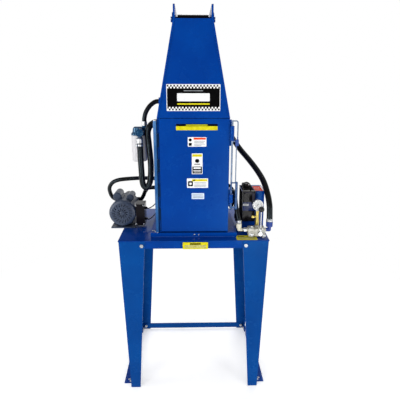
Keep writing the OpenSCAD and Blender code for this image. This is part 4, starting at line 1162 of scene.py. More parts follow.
@dataclass(frozen=True)
class Hose:
    """A hose on a listed route, with a swaged sleeve beside each socket that its sleeves flags call for.

    The route is in millimetres from the middle of the table's front edge; its heights start at the
    table's top, or at the chamber's top for the filter's hoses.
    """

    name: str
    diameter: float
    route: tuple[Point, ...]
    finish: Finish = HOSE
    sleeves: tuple[bool, bool] = (True, True)
    sides: int = 28
    steps: int = 10
    skin_inset: float = 0.3

    def line(self, origin: np.ndarray) -> np.ndarray:
        """The middle of the hose, in metres in the part's frame."""
        return smooth_route(np.array(self.route, float) * MM + origin, self.steps)

    def stretch(self, line: np.ndarray, start: float, end: float, count: int) -> np.ndarray:
        """Even points between two distances along a line.

        Args:
            line: points of the middle.
            start: distance of the first point.
            end: distance of the last.
            count: number of points.

        Returns:
            The points.
        """
        run = np.concatenate([[0.0], np.cumsum(np.linalg.norm(np.diff(line, axis=0), axis=1))])
        at = np.linspace(start, end, count)
        return np.stack([np.interp(at, run, line[:, k]) for k in range(3)], axis=-1)

    def sleeve(self, line: np.ndarray, start: float = 0.0195, length: float = 0.016) -> Skin:
        """Swaged end of a socket: the hose's radius and a wall, with two raised round rings.

        The rings are the root of a cosine's upper half, twice over the length; the last tenth of
        the sleeve runs down to a lip.

        Args:
            line: the hose's middle, from the socket.
            start: distance of the sleeve along it.
            length: the sleeve's length.

        Returns:
            Points and faces.
        """
        wall, ring, count = 0.0011, 0.0009, 33
        t = np.linspace(0, 1, count)
        wave = np.clip(np.cos(2 * math.pi * (2 * t - 0.5)), 0, 1)
        rings = ring * wave ** 0.5 * (t > 0.1) * (t < 0.96)
        lip = ring * np.clip((t - 0.9) / 0.1, 0, 1)
        radius = self.diameter / 2 * MM + wall + rings - lip
        return sweep(self.stretch(line, start, start + length, count), radius, 32)[:2]

    def build(self, origin: np.ndarray) -> tuple[np.ndarray, list, np.ndarray]:
        """Gives the hose's skin, and makes its sleeves a piece of their own.

        Args:
            origin: the place that the route is measured from.

        Returns:
            Points, faces and pattern coordinates.
        """
        line = self.line(origin)
        ways = zip((line, line[::-1]), self.sleeves)
        collars = [self.sleeve(way) for way, wanted in ways if wanted]
        if collars:
            add_piece(f"{self.name}_sleeves", joined(collars), ZINC, Slot.ZINC, smooth=True)
        return sweep(line, (self.diameter / 2 - self.skin_inset) * MM, self.sides)


def hoses_as_piece(name: str, hoses: tuple[Hose, ...], origin: np.ndarray, node: str) -> None:
    """Makes the hoses of one node into one piece that stands for it.

    Args:
        name: the piece's name.
        hoses: its hoses, all in one finish.
        origin: the place that their routes are measured from.
        node: the node.
    """
    skins = [hose.build(origin) for hose in hoses]
    points, faces = joined([(p, f) for p, f, _ in skins])
    made = piece_from(name, points, faces, uv=np.concatenate([uv for _, _, uv in skins]))
    dress(made, Body.FRAME, hoses[0].finish, Slot.HOSE_RUBBER, (node,))


SUCTION = Hose("suction_hose", 27, (
    (-506, 496, 116), (-516, 496, 116), (-527, 495.5, 117), (-548, 489, 134), (-559, 472, 170),
    (-556, 448, 210), (-532, 432, 246), (-490, 425, 266), (-425, 430, 273), (-350, 455, 272),
    (-290, 480, 266), (-200, 495, 258), (0, 500, 250), (150, 495, 242), (230, 470, 220),
    (268, 420, 180), (277, 360, 126), (278, 320, 90), (278, 310, 72), (278, 310, 62), (278, 310, 48)),
    sleeves=(False, False))
PRESSURE = Hose("pressure_hose", 27, (
    (-374, 496, 116), (-364, 496, 116), (-354, 495.5, 118), (-338, 492, 144), (-322, 488, 178),
    (-284, 484, 200), (-100, 480, 196), (90, 480, 190), (186, 468, 178), (224, 430, 160),
    (232, 360, 136), (236, 300, 124), (237, 262, 132), (237, 240, 166), (238, 222, 214),
    (240, 196, 242), (243, 166, 244), (246, 140, 220), (249, 120, 184), (254, 103, 146),
    (262, 90, 110), (267, 83, 86), (267, 82, 70), (267, 82, 59)), sleeves=(False, True))
LOOP = Hose("loop_hose", 36, (
    (-308, 164, -127), (-308, 164, -146), (-308, 164, -166), (-307, 164, -234), (-305, 166, -304),
    (-303, 169, -362), (-298, 173, -394), (-284, 176, -410), (-267, 179, -396), (-256, 180, -362),
    (-251, 180, -294), (-253, 180, -224), (-259, 178, -144), (-262, 179, -84), (-246, 186, -46),
    (-216, 210, -30), (-180, 236, -35), (-140, 257, -43), (-118, 260.3, -44), (-102, 260.3, -44),
    (-87, 260.3, -44)), sleeves=(False, False))
ARC = Hose("arc_hose", 27, (
    (-286, 230, -41), (-286, 230, -24), (-285, 230.5, -8), (-276, 233, 24), (-256, 238, 56),
    (-234, 243, 76), (-216, 246, 85), (-202, 246, 86), (-192, 246, 86), (-184, 246, 86)),
    sleeves=(False, False))
RAM = Hose("ram_hose_smooth", 36, (
    (446, 82, 69), (446, 82, 88), (446, 82.5, 110), (446, 90, 144), (446, 105, 182),
    (440, 140, 235), (424, 200, 300), (394, 270, 355), (352, 340, 410), (300, 410, 470),
    (252, 458, 540), (196, 488, 630), (130, 506, 750), (70, 512, 890), (24, 508, 1020),
    (4, 490, 1094), (0, 454, 1140), (0, 410, 1152), (0, 374, 1152), (0, 358, 1152), (0, 347, 1152)),
    sleeves=(True, False))
LEADS = (
    Hose("lead_a", 7, ((-300, 270, 120), (-286, 278, 114), (-262, 300, 120), (-238, 340, 136),
                       (-226, 390, 150)), LEAD, (False, False), 16),
    Hose("lead_b", 7, ((-300, 270, 50), (-284, 280, 42), (-262, 310, 50), (-240, 360, 66),
                       (-226, 410, 80)), LEAD, (False, False), 16),
    Hose("box_lead", 8, ((300, 190, 250), (294, 192, 272), (302, 198, 290), (322, 206, 296),
                         (340, 212, 284), (348, 218, 266), (350, 222, 246)), LEAD, (False, False), 16))


# ---------------------------------------------------------------- fine pieces of the machine


@dataclass(frozen=True)
class GaugeDial:
    """White dial behind the glass, with ticks and the figures 0 to 6 round three quarters of a turn."""

    centre: Point
    radius: float = 0.0272
    figures: tuple[int, ...] = (0, 1, 2, 3, 4, 5, 6)
    figure_inset: float = 0.0102
    figure_size: float = 0.0062
    figure_lift: float = 0.00055
    start: float = 225.0
    sweep: float = 270.0
    ticks: int = 60
    tick_inset: float = 0.0016
    long_tick: Spot = (0.005, 0.00042)
    short_tick: Spot = (0.0026, 0.0002)
    band_from: float = 0.8
    band_inset: Spot = (0.001, 0.0022)

    def figure(self, words: str, at: Spot, face: Face) -> Skin:
        """A figure's outline, filled and raised a little, placed on the dial.

        Args:
            words: the figure.
            at: its middle on the dial.
            face: the dial's face.

        Returns:
            Points and faces.
        """
        curve = bpy.data.curves.new("figure", "FONT")
        curve.body, curve.size = words, self.figure_size
        curve.align_x, curve.align_y = "CENTER", "CENTER"
        held = bpy.data.objects.new("figure", curve)
        bpy.context.scene.collection.objects.link(held)
        bpy.context.view_layer.update()
        graph = bpy.context.evaluated_depsgraph_get()
        mesh = bpy.data.meshes.new_from_object(held.evaluated_get(graph))
        flat = np.zeros(len(mesh.vertices) * 3)
        mesh.vertices.foreach_get("co", flat)
        faces = [list(p.vertices) for p in mesh.polygons]
        bpy.data.objects.remove(held)
        bpy.data.meshes.remove(mesh)
        return face.place(flat.reshape(-1, 3)[:, :2] + np.array(at), self.figure_lift), faces

    def tick(self, angle: float, length: float, width: float, face: Face) -> Skin:
        """A thin bar along a radius.

        Args:
            angle: its direction in degrees.
            length: its length, inwards from the ticks' circle.
            width: half its width.
            face: the dial's face.

        Returns:
            Points and faces.
        """
        a, outer = math.radians(angle), self.radius - self.tick_inset
        along, side = np.array([math.cos(a), math.sin(a)]), np.array([-math.sin(a), math.cos(a)])
        corners = [along * outer - side * width, along * outer + side * width,
                   along * (outer - length) + side * width, along * (outer - length) - side * width]
        return face.slab(np.array(corners), 0.0002, 0.0005)

    def build(self) -> None:
        """Makes the dial, its ticks and figures, and a coloured band at the top of the range."""
        face = Face(self.centre)
        disc = face.turned([(self.radius, 0.0), (self.radius, 0.0003), (self.radius - 0.0003, 0.0004)],
                           64)
        add_piece("gauge_dial", disc, INK_WHITE, Slot.WHITE_ENAMEL)
        marks = []
        for k in range(self.ticks + 1):
            length, width = self.long_tick if k % 10 == 0 else self.short_tick
            marks.append(self.tick(self.start - self.sweep * k / self.ticks, length, width, face))
        for k, value in enumerate(self.figures):
            a = math.radians(self.start - self.sweep * k / (len(self.figures) - 1))
            reach = self.radius - self.figure_inset
            marks.append(self.figure(str(value), (math.cos(a) * reach, math.sin(a) * reach), face))
        add_piece("gauge_marks", joined(marks), INK_BLACK, Slot.BLACK_PLASTIC)
        end = self.start - self.sweep
        turn = np.radians(np.linspace(end, self.start - self.sweep * self.band_from, 16))
        arc = np.stack([np.cos(turn), np.sin(turn)], axis=-1)
        outer, inner = (self.radius - inset for inset in self.band_inset)
        band = face.slab(np.concatenate([outer * arc, inner * arc[::-1]]), 0.0002, 0.00045)
        add_piece("gauge_band", band, INK_ORANGE, Slot.WHITE_ENAMEL)


@dataclass(frozen=True)
class ScrewSet:
    """Pan-head screws with a raised cross and a plain washer, on one face.

    The shapes of the washer and the head are given as shares of the head's radius.
    """

    name: str
    face: Face
    places: tuple[Spot, ...]
    radius: float = 0.0042
    finish: Finish = ZINC

    def one(self, at: Spot) -> list[Skin]:
        """A washer, a head whose side is an ellipse, and a raised cross on it.

        Args:
            at: the screw's place on the face.

        Returns:
            The skins of its parts.
        """
        r = self.radius
        washer = self.face.turned([(r * 1.55, 0.0), (r * 1.55, r * 0.2), (r * 1.45, r * 0.26)], 20, at)
        t = np.linspace(0, math.pi / 2, 6)
        profile = [(r * max(math.cos(a) ** 0.6, 0.35), r * (0.26 + 0.62 * math.sin(a))) for a in t]
        head = self.face.turned([(r, r * 0.2), *profile], 20, at)
        bars = [self.face.slab(rounded_rectangle(w, h, r * 0.04, 2), r * 0.86, r * 0.93, at=at)
                for w, h in ((r * 0.62, r * 0.12), (r * 0.12, r * 0.62))]
        return [washer, head, *bars]

    def build(self) -> None:
        """Makes all the screws one piece."""
        parts = [part for at in self.places for part in self.one(at)]
        add_piece(self.name, joined(parts), self.finish, Slot.ZINC)


@dataclass(frozen=True)
class Bead:
    """Weld bead: half-sunk puddles laid one on the next along a line of corners.

    Its radius swells and shrinks as the absolute sine of the distance over the puddle's length.
    """

    corners: tuple[Point, ...]
    width: float
    puddle: float = 0.005
    steps: int = 4

    def build(self) -> Skin:
        """Gives the bead's skin, drawn in at both ends over its own width.

        Returns:
            Points and faces.
        """
        ends = np.array(self.corners)
        lengths = np.linalg.norm(np.diff(ends, axis=0), axis=1)
        run = np.concatenate([[0.0], np.cumsum(lengths)])
        at = np.linspace(0.0, run[-1], max(int(run[-1] / self.puddle * self.steps), 8))
        line = np.stack([np.interp(at, run, ends[:, k]) for k in range(3)], axis=-1)
        swell = 0.78 + 0.22 * np.abs(np.sin(math.pi * at / self.puddle))
        taper = np.clip(np.minimum(at, run[-1] - at) / self.width, 0.2, 1.0) ** 0.5
        return sweep(line, self.width / 2 * swell * taper, 10)[:2]


def weld_all(name: str, beads: list[Bead]) -> None:
    """Joins beads on the frame into one piece."""
    add_piece(name, joined([bead.build() for bead in beads]), WELD, Slot.BLUE_PAINT, smooth=True)


@dataclass(frozen=True)
class Stand:
    """Weld beads where the legs meet their skids and the chamber's base plate meets the table."""

    legs: tuple[str, ...] = ("leg_front_left", "leg_front_right", "leg_rear_left", "leg_rear_right")
    foot_run: float = 0.06
    foot_inset: float = 0.004
    foot_bead: float = 0.006
    plate_inset: float = 0.01
    plate_bead: float = 0.007

    def feet(self) -> list[Bead]:
        """A bead along the outside of each leg's foot.

        Returns:
            The beads.
        """
        beads = []
        for leg in self.legs:
            low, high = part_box(leg)
            left, front = "left" in leg, "front" in leg
            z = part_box("skid_left" if left else "skid_right")[1].z
            x = low.x if left else high.x
            y0, y1 = (low.y, low.y + self.foot_run) if front else (high.y - self.foot_run, high.y)
            beads.append(Bead(((x, y0 + self.foot_inset, z), (x, y1, z)), self.foot_bead))
        return beads

    def plate(self) -> list[Bead]:
        """Beads along both sides and the front of the base plate.

        Returns:
            The beads.
        """
        low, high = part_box("base_plate")
        z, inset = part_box("table_top")[1].z, self.plate_inset
        runs = [((x, low.y + inset, z), (x, high.y - inset, z)) for x in (low.x, high.x)]
        runs.append(((low.x + inset, low.y, z), (high.x - inset, low.y, z)))
        return [Bead(run, self.plate_bead) for run in runs]

    def build(self) -> None:
        """Makes all the beads one piece."""
        weld_all("stand_welds", self.feet() + self.plate())


@dataclass(frozen=True)
class Cabinet:
    """Weld beads at the foot of the chamber's side plates."""

    front_inset: float = 0.03
    rear_inset: float = 0.02
    bead: float = 0.006

    def build(self) -> None:
        """Lays a bead along the outside foot of each side plate."""
        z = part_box("base_plate")[1].z
        beads = []
        for node, left in (("side_plate_left", True), ("side_plate_right", False)):
            low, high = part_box(node)
            x = low.x if left else high.x
            ends = ((x, low.y + self.front_inset, z), (x, high.y - self.rear_inset, z))
            beads.append(Bead(ends, self.bead))
        weld_all("cabinet_welds", beads)


@dataclass(frozen=True)
class Seam:
    """A half-round ring about a can: its height, and how far its middle and root lie inside the wall."""

    height: float
    inset: float
    bulge: float
    rise: float
    root: float

    def skin(self, foot: Face, radius: float) -> Skin:
        """The ring: bulge times the cosine and rise times the sine of half a turn.

        Args:
            foot: the can's foot, with its axis pointing up.
            radius: the can's radius.

        Returns:
            Points and faces.
        """
        t = np.linspace(-math.pi / 2, math.pi / 2, 9)
        ring = [(radius - self.inset + self.bulge * math.cos(a), self.height + self.rise * math.sin(a))
                for a in t]
        root = radius - self.root
        return foot.turned([(root, ring[0][1]), *ring, (root, ring[-1][1])], 64)


@dataclass(frozen=True)
class FilterUnit:
    """Rolled seams near the top and at the foot of the return filter's can."""

    seams: tuple[Seam, ...] = (Seam(0.152, 0.0002, 0.0016, 0.0028, 0.002),
                               Seam(0.008, 0.003, 0.0012, 0.002, 0.005))

    def build(self) -> None:
        """Makes both seams one piece."""
        low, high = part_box("filter_can")
        radius = (high.x - low.x) / 2
        foot = Face(((low.x + high.x) / 2, (low.y + high.y) / 2, low.z), *LOOKS_UP)
        skins = [seam.skin(foot, radius) for seam in self.seams]
        add_piece("can_seams", joined(skins), WHITE, Slot.WHITE_ENAMEL, smooth=True)


@dataclass(frozen=True)
class FilterPort:
    """Ringed cap on the front of the filter's inlet, and a screw clamp round the hose below it."""

    shift: float = 0.012
    rise: float = 0.028
    cap: tuple[Spot, ...] = ((0.0229, -0.020), (0.0229, -0.003), (0.0222, -0.0008), (0.0205, 0.0),
                             (0.0172, 0.0), (0.0165, -0.0012), (0.0165, -0.0022))
    hub: tuple[Spot, ...] = ((0.0125, -0.006), (0.0125, -0.0006), (0.0118, 0.0002), (0.006, 0.0006))
    strap_run: Spot = (0.024, 0.036)
    strap_gap: float = 0.0009
    strap_crown: float = 0.0007
    housing: Spot = (0.014, 0.012)
    housing_out: float = 0.0136
    head_out: Spot = (0.0245, 0.0110)
    head: tuple[Spot, ...] = ((0.004, -0.004), (0.004, 0.006), (0.0048, 0.006), (0.0048, 0.011),
                              (0.0036, 0.0122))

    def port(self) -> None:
        """Places the cap on the fitting's front face."""
        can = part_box("filter_can")
        x, z = (can[0].x + can[1].x) / 2 + self.shift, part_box("filter_head")[0].z + self.rise
        face = Face((x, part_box("filter_fittings")[0].y, z))
        skins = [face.turned(list(self.cap), 48), face.turned(list(self.hub), 6)]
        add_piece("filter_port_cap", joined(skins), TEAL, Slot.BLUE_PAINT)

    def clamp(self) -> None:
        """Lays a crowned strap round the hose's first straight run, and its screw beside it."""
        count = 13
        middle = LOOP.line(np.array([0.0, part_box("table_top")[0].y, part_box("guide_plate")[1].z]))
        band = LOOP.stretch(middle, *self.strap_run, count)
        t = np.linspace(-1, 1, count)
        radius = LOOP.diameter / 2 * MM + self.strap_gap + self.strap_crown * (1 - t ** 4)
        strap = sweep(band, radius, 48)[:2]
        x, y, z = band[count // 2]
        screw = Face((x - self.housing_out, y - self.housing_out, z), (0.7071, -0.7071, 0), (0, 0, 1))
        house = screw.slab(rounded_rectangle(*self.housing, 0.003), 0.0, 0.0082, 0.0012)
        end = Face((x - self.head_out[0], y - self.head_out[1], z), (0, 0, 1), (0, -1, 0))
        skins = [strap, house, end.turned(list(self.head), 6)]
        add_piece("hose_clamp", joined(skins), ZINC, Slot.ZINC)

    def build(self) -> None:
        """Makes the cap and the clamp."""
        self.port()
        self.clamp()


@dataclass(frozen=True)
class ValveBank:
    """Cast ribs, socket plugs, nuts and bolts of the lever valve.

    Places are measured from the middle of the body's width and from the table's top.
    """

    plugs: tuple[Point, ...] = ((-0.032, 0.020, 0.0118), (0.040, 0.012, 0.0095))
    plug_sunk: float = 0.011
    ribs: tuple[float, ...] = (-0.046, -0.012, 0.046)
    rib_sunk: float = 0.019
    rib_height: float = 0.028
    bolts: tuple[Spot, ...] = ((-0.040, -0.020), (-0.040, 0.020), (0.042, 0.020), (-0.012, 0.022))
    bolt: tuple[Spot, ...] = ((0.0062, -0.001), (0.0062, 0.004), (0.0054, 0.0052), (0.003, 0.0055))
    boss: tuple[Spot, ...] = ((0.0095, -0.004), (0.0095, -0.0006), (0.0088, 0.0002))
    port_at: Spot = (-0.026, -0.004)
    port_boss: tuple[Spot, ...] = ((0.015, -0.004), (0.015, 0.004), (0.0135, 0.0056), (0.009, 0.006))
    port_nut: tuple[Spot, ...] = ((0.0105, 0.003), (0.0105, 0.012), (0.0092, 0.0138),
                                  (0.006, 0.0142))
    top_back: float = 0.006
    top_height: float = 0.050

    def front(self, front_y: float, middle_x: float, foot_z: float) -> tuple[list[Skin], list[Skin]]:
        """The socket plugs and the ribs on the front.

        Args:
            front_y: place of the body's front.
            middle_x: middle of its width.
            foot_z: the table's top.

        Returns:
            The cast parts and the bright ones.
        """
        cast, bright = [], []
        for x, z, r in self.plugs:
            face = Face((middle_x + x, front_y + self.plug_sunk, foot_z + z))
            cast.append(face.turned([(r + 0.004, -0.003), (r + 0.004, 0.001), (r + 0.003, 0.003),
                                     (r + 0.001, 0.0035)], 36))
            bright.append(face.turned([(r * 0.92, 0.003), (r * 0.92, 0.0095), (r * 0.8, 0.0112),
                                       (r * 0.5, 0.0116)], 6))
        face = Face((middle_x, front_y + self.rib_sunk, foot_z + self.rib_height))
        for x in self.ribs:
            cast.append(face.slab(rounded_rectangle(0.005, 0.042, 0.0024), -0.004, 0.0035, 0.002,
                                  (x, 0)))
        cast.append(face.slab(rounded_rectangle(0.094, 0.006, 0.0028), -0.004, 0.003, 0.002,
                              (0, -0.018)))
        return cast, bright

    def build(self) -> None:
        """Each plug is a turned cap with a raised hexagon; nuts and bolts are eased hexagons."""
        low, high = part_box("valve_body")
        middle, foot = (low.x + high.x) / 2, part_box("table_top")[1].z
        cast, bright = self.front(low.y, middle, foot)
        top = Face((middle, (low.y + high.y) / 2 + self.top_back, foot + self.top_height), *LOOKS_UP)
        for at in self.bolts:
            bright.append(top.turned(list(self.bolt), 6, at))
            cast.append(top.turned(list(self.boss), 24, at))
        cast.append(top.turned(list(self.port_boss), 36, self.port_at))
        bright.append(top.turned(list(self.port_nut), 6, self.port_at))
        add_piece("valve_castings", joined(cast), CAST, Slot.CAST_VALVE)
        add_piece("valve_plugs", joined(bright), ZINC, Slot.ZINC)


@dataclass(frozen=True)
class ControlBox:
    """Edging and screws of the control box, a matte black sheet of painted shade on the tank's left
    side, and the lid pad and lid screws.
    """

    edge_proud: float = 0.0016
    edge_ease: float = 0.0005
    side_edge: Spot = (0.0145, 0.076)
    side_edge_inset: Spot = (0.0125, 0.047)
    top_edge: Spot = (0.062, 0.005)
    top_edge_inset: float = 0.0085
    screw_inset: Spot = (0.010, 0.012)
    # Size and height of the black sheet of painted shade on the tank's left side.
    shade_sheet_height: float = 0.182
    shade_sheet_middle: float = 1.136
    shade_sheet_gap: float = 0.004
    pad_width: float = 0.072
    pad_gap: float = 0.012

    def box_trim(self) -> None:
        """Puts folded strips along the box's top and right edges, and a screw in each corner."""
        low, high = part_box("control_box")
        face = Face(((low.x + high.x) / 2, low.y, (low.z + high.z) / 2))
        w, h = (high.x - low.x) / 2, (high.z - low.z) / 2
        rows = ((self.side_edge, (w - self.side_edge_inset[0], h - self.side_edge_inset[1])),
                (self.top_edge, (0, h - self.top_edge_inset)))
        strips = [face.slab(rounded_rectangle(*size, 0.001), 0.0, self.edge_proud, self.edge_ease, at)
                  for size, at in rows]
        add_piece("box_edging", joined(strips), GREY_COAT, Slot.BLACK_ENAMEL)
        x, z = w - self.screw_inset[0], h - self.screw_inset[1]
        corners = tuple((a * x, b * z) for a in (-1, 1) for b in (-1, 1))
        ScrewSet("box_screws", face, corners, radius=0.0032, finish=BLACK).build()

    def tank_trim(self) -> None:
        """Puts a matte black sheet on the tank's left side, standing in for its shade, and a pad and
        four screws on its lid.
        """
        tank, lid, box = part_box("oil_tank"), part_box("tank_lid"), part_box("control_box")
        side = Face((tank[0].x, (tank[0].y + tank[1].y) / 2, 0), *LOOKS_LEFT)
        # Painted shade: a matte black sheet laid over the tank's left face, darkening it as its shadow
        # would.
        outline = rounded_rectangle(tank[1].y - tank[0].y - self.shade_sheet_gap, self.shade_sheet_height, 0.004)
        cover = side.slab(outline, 0.0, 0.0016, 0.0006, (0, self.shade_sheet_middle))
        add_piece("tank_side_shade_sheet", cover, MATTE, Slot.BLACK_ENAMEL)
        top = Face(((box[0].x + box[1].x) / 2, (lid[0].y + lid[1].y) / 2, lid[1].z), *LOOKS_UP)
        outline = rounded_rectangle(self.pad_width, lid[1].y - lid[0].y - self.pad_gap, 0.003)
        add_piece("lid_pad", top.slab(outline, 0.0, 0.0014, 0.0006), MATTE, Slot.BLACK_ENAMEL)
        left, right = lid[0].x + 0.008, lid[1].x - 0.006
        front, rear = lid[0].y + 0.010, lid[1].y - 0.012
        places = ((left, front), (right, front), (left, rear), (right, rear))
        ScrewSet("lid_screws", Face((0, 0, lid[1].z), *LOOKS_UP), places, radius=0.0034).build()

    def build(self) -> None:
        """Trims the box and the tank."""
        self.box_trim()
        self.tank_trim()


@dataclass(frozen=True)
class MotorTrim:
    """Blank rating plate, fan cover hub and terminal screws, and the ends of the motor's leads."""

    plate_radius: float = 0.0775
    plate_proud: float = 0.0012
    plate_sunk: float = 0.004
    plate_turn: Spot = (198, 232)
    plate_run: Spot = (-0.01, 0.062)
    hub: tuple[Spot, ...] = ((0.0125, -0.0004), (0.0125, 0.0012), (0.0110, 0.0020), (0.006, 0.0022))
    glands: tuple[Spot, ...] = ((-0.060, 1.110), (-0.060, 1.040))
    gland_nut: tuple[Spot, ...] = ((0.0085, 0.0), (0.0085, 0.006), (0.0078, 0.007))
    gland_cap: tuple[Spot, ...] = ((0.0068, 0.006), (0.0066, 0.011), (0.0052, 0.014))
    bushes: tuple[Spot, ...] = ((0.060, 1.140), (0.080, 1.070))
    bush: tuple[Spot, ...] = ((0.0130, -0.0002), (0.0130, 0.0040), (0.0090, 0.0052),
                              (0.0090, 0.0300), (0.0074, 0.0318))
    screw_inset: Spot = (0.007, 0.008)

    def rating_plate(self, x: float, z: float) -> None:
        """A blank plate bent round the frame: arcs just outside and inside its skin.

        Args:
            x: place of the motor's axis.
            z: its height.
        """
        turn = np.radians(np.linspace(*self.plate_turn, 18))
        arc = np.stack([np.cos(turn), np.sin(turn)], axis=-1)
        outline = np.concatenate([arc * (self.plate_radius + self.plate_proud),
                                  arc[::-1] * (self.plate_radius - self.plate_sunk)])
        rings = [np.stack([x + outline[:, 0], np.full(len(outline), y), z + outline[:, 1]], axis=-1)
                 for y in self.plate_run]
        add_piece("rating_plate", loft(np.stack(rings)), ALLOY, Slot.ZINC)

    def lead_ends(self) -> None:
        """Glands where the leads leave the terminal box, and bushes where they reach the side plate."""
        side = Face((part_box("terminal_box")[1].x, 0, 0), *LOOKS_RIGHT)
        wall = Face((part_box("side_plate_left")[0].x, 0, 0), *LOOKS_LEFT)
        skins = []
        for at in self.glands:
            skins.append(side.turned(list(self.gland_nut), 6, at))
            skins.append(side.turned(list(self.gland_cap), 24, at))
        for y, z in self.bushes:
            skins.append(wall.turned(list(self.bush), 24, (-y, z)))
        add_piece("lead_glands", joined(skins), PLASTIC, Slot.BLACK_PLASTIC)

    def build(self) -> None:
        """Trims the frame, the fan cover, the leads and the terminal box in turn."""
        low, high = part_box("motor_frame")
        x, z = (low.x + high.x) / 2, (low.z + high.z) / 2
        self.rating_plate(x, z)
        face = Face((x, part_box("fan_cover")[0].y, z))
        add_piece("fan_cover_hub", face.turned(list(self.hub), 36), NAVY, Slot.NAVY_ENAMEL, smooth=True)
        self.lead_ends()
        low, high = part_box("terminal_box")
        cover = Face(((low.x + high.x) / 2, low.y, (low.z + high.z) / 2))
        w, h = (high.x - low.x) / 2 - self.screw_inset[0], (high.z - low.z) / 2 - self.screw_inset[1]
        corners = tuple((a * w, b * h) for a in (-1, 1) for b in (-1, 1))
        ScrewSet("terminal_screws", cover, corners, radius=0.003).build()


@dataclass(frozen=True)
class Studio:
    """Camera, lamps, white surroundings and a pale floor."""

    floor_half: float = 9.0
    floor_drop: float = 0.0005
    aim_height: float = 1.1

    def camera(self) -> None:
        """Places the camera: looking down 15.12 degrees and 1.31 degrees to the right of straight on."""
        data = bpy.data.cameras.new("camera")
        data.sensor_width, data.lens, data.clip_end = 36.0, 35.81, 60.0
        camera = bpy.data.objects.new("camera", data)
        camera.location = (-0.01456, -2.46847, 1.81022)
        yaw, down, roll = 0.0229451, 0.263939, 0.0016217
        look = Vector((math.sin(yaw) * math.cos(down), math.cos(yaw) * math.cos(down), -math.sin(down)))
        turn = look.to_track_quat("-Z", "Y").to_matrix() @ Matrix.Rotation(roll, 3, "Z")
        camera.rotation_euler = turn.to_euler()
        bpy.context.scene.collection.objects.link(camera)
        bpy.context.scene.camera = camera

    def lamp(self, name: str, place: Point, size: float, power: float, height: float = 0.0) -> None:
        """An area lamp that points at the machine's middle.

        Args:
            name: the lamp's name.
            place: where it stands.
            size: its width.
            power: its power in watts.
            height: its height, where it isn't square.
        """
        data = bpy.data.lights.new(name, "AREA")
        data.shape, data.size, data.size_y, data.energy = "RECTANGLE", size, height or size, power
        made = bpy.data.objects.new(name, data)
        made.location = place
        look = Vector((0, 0, self.aim_height)) - Vector(place)
        made.rotation_euler = look.to_track_quat("-Z", "Y").to_euler()
        bpy.context.scene.collection.objects.link(made)

    def surroundings(self) -> None:
        """World that is white to the camera and to glass, soft to plain surfaces, and to shine is a
        white backdrop that falls off to a dim room behind the camera."""
        world = bpy.data.worlds.new("studio")
        bpy.context.scene.world = world
        world.use_nodes = True
        world.node_tree.nodes.clear()
        g = Graph(world.node_tree)
        path = g.node("LightPath")
        clear = g.math("MAXIMUM", path.outputs["Is Camera Ray"], path.outputs["Is Transmission Ray"])
        split = g.node("SeparateXYZ", {0: g.node("TexCoord").outputs["Generated"]})
        depth, rise = split.outputs["Y"], split.outputs["Z"]
        shine = g.math("MULTIPLY", g.span(depth, -0.45, 0.1, 0.3, 1.0),
                       g.span(rise, 0.2, 0.4, 1.0, 0.4))
        glossy = path.outputs["Is Glossy Ray"]
        level = g.node("Mix", {"Factor": glossy, "A": 0.5, "B": shine}).outputs[0]
        level = g.node("Mix", {"Factor": clear, "A": level, "B": 1.0}).outputs[0]
        both = g.node("Background", {"Color": (1, 1, 1, 1), "Strength": level})
        g.node("OutputWorld", {"Surface": both.outputs[0]})

    def floor(self) -> None:
        """Pale floor that keeps the machine's shadow: white light is added to what the camera sees."""
        h, z = self.floor_half, -self.floor_drop
        points = np.array([[-h, -h, z], [h, -h, z], [h, h, z], [-h, h, z]])
        made = piece_from("floor", points, [[0, 1, 2, 3]], smooth=False)
        material = bpy.data.materials.new("pale_floor")
        material.use_nodes = True
        material.node_tree.nodes.clear()
        g = Graph(material.node_tree)
        cloud = g.noise(g.place(), 1.5, 3.0)
        tone = g.mix(cloud, (0.80, 0.80, 0.80, 1), (0.84, 0.84, 0.84, 1))
        shader = g.node("BsdfPrincipled", {"Base Color": tone, "Roughness": 0.7})
        path = g.node("LightPath")
        depth = g.node("SeparateXYZ", {0: g.place()}).outputs["Y"]
        shine = g.math("MULTIPLY", path.outputs["Is Glossy Ray"], g.span(depth, -0.6, 0.3, 0.2, 1.0))
        seen = g.math("MAXIMUM", path.outputs["Is Camera Ray"], g.math(
            "MAXIMUM", shine, path.outputs["Is Transmission Ray"]))
        glow = g.node("Emission", {"Color": (1, 1, 1, 1), "Strength": g.math("MULTIPLY", seen, 0.42)})
        near = g.node("AddShader", {0: shader.outputs[0], 1: glow.outputs[0]})
        away = g.node("VectorMath", {0: g.place()}, operation="LENGTH").outputs["Value"]
        fade = g.math("MULTIPLY", seen, g.span(away, 0.7, 2.4))
        white = g.node("Emission", {"Color": (1, 1, 1, 1), "Strength": 1.0})
        both = g.node("MixShader", {0: fade, 1: near.outputs[0], 2: white.outputs[0]})
        g.node("OutputMaterial", {"Surface": both.outputs[0]})
        made.data.materials.append(material)

    def build(self) -> None:
        """Sets the view transform and builds the rest."""
        bpy.context.scene.view_settings.view_transform = "Standard"
        self.camera()
        self.surroundings()
        self.lamp("key", (-2.4, -3.7, 2.1), 2.2, 54)
        self.lamp("fill", (3.2, -3.1, 1.9), 1.8, 30)
        self.lamp("front_strip", (0.7, -2.75, 0.7), 0.2, 9, 1.1)
        self.lamp("rear", (0.6, 2.2, 4.2), 1.8, 52)
        self.lamp("left_side", (-3.4, -0.7, 1.8), 1.2, 26)
        self.lamp("left_strip", (-2.1, -2.4, 0.75), 0.5, 13)
        self.lamp("right_strip", (2.1, -2.4, 0.75), 0.5, 12)
        self.floor()


# ---------------------------------------------------------------- finishes of the part's own nodes


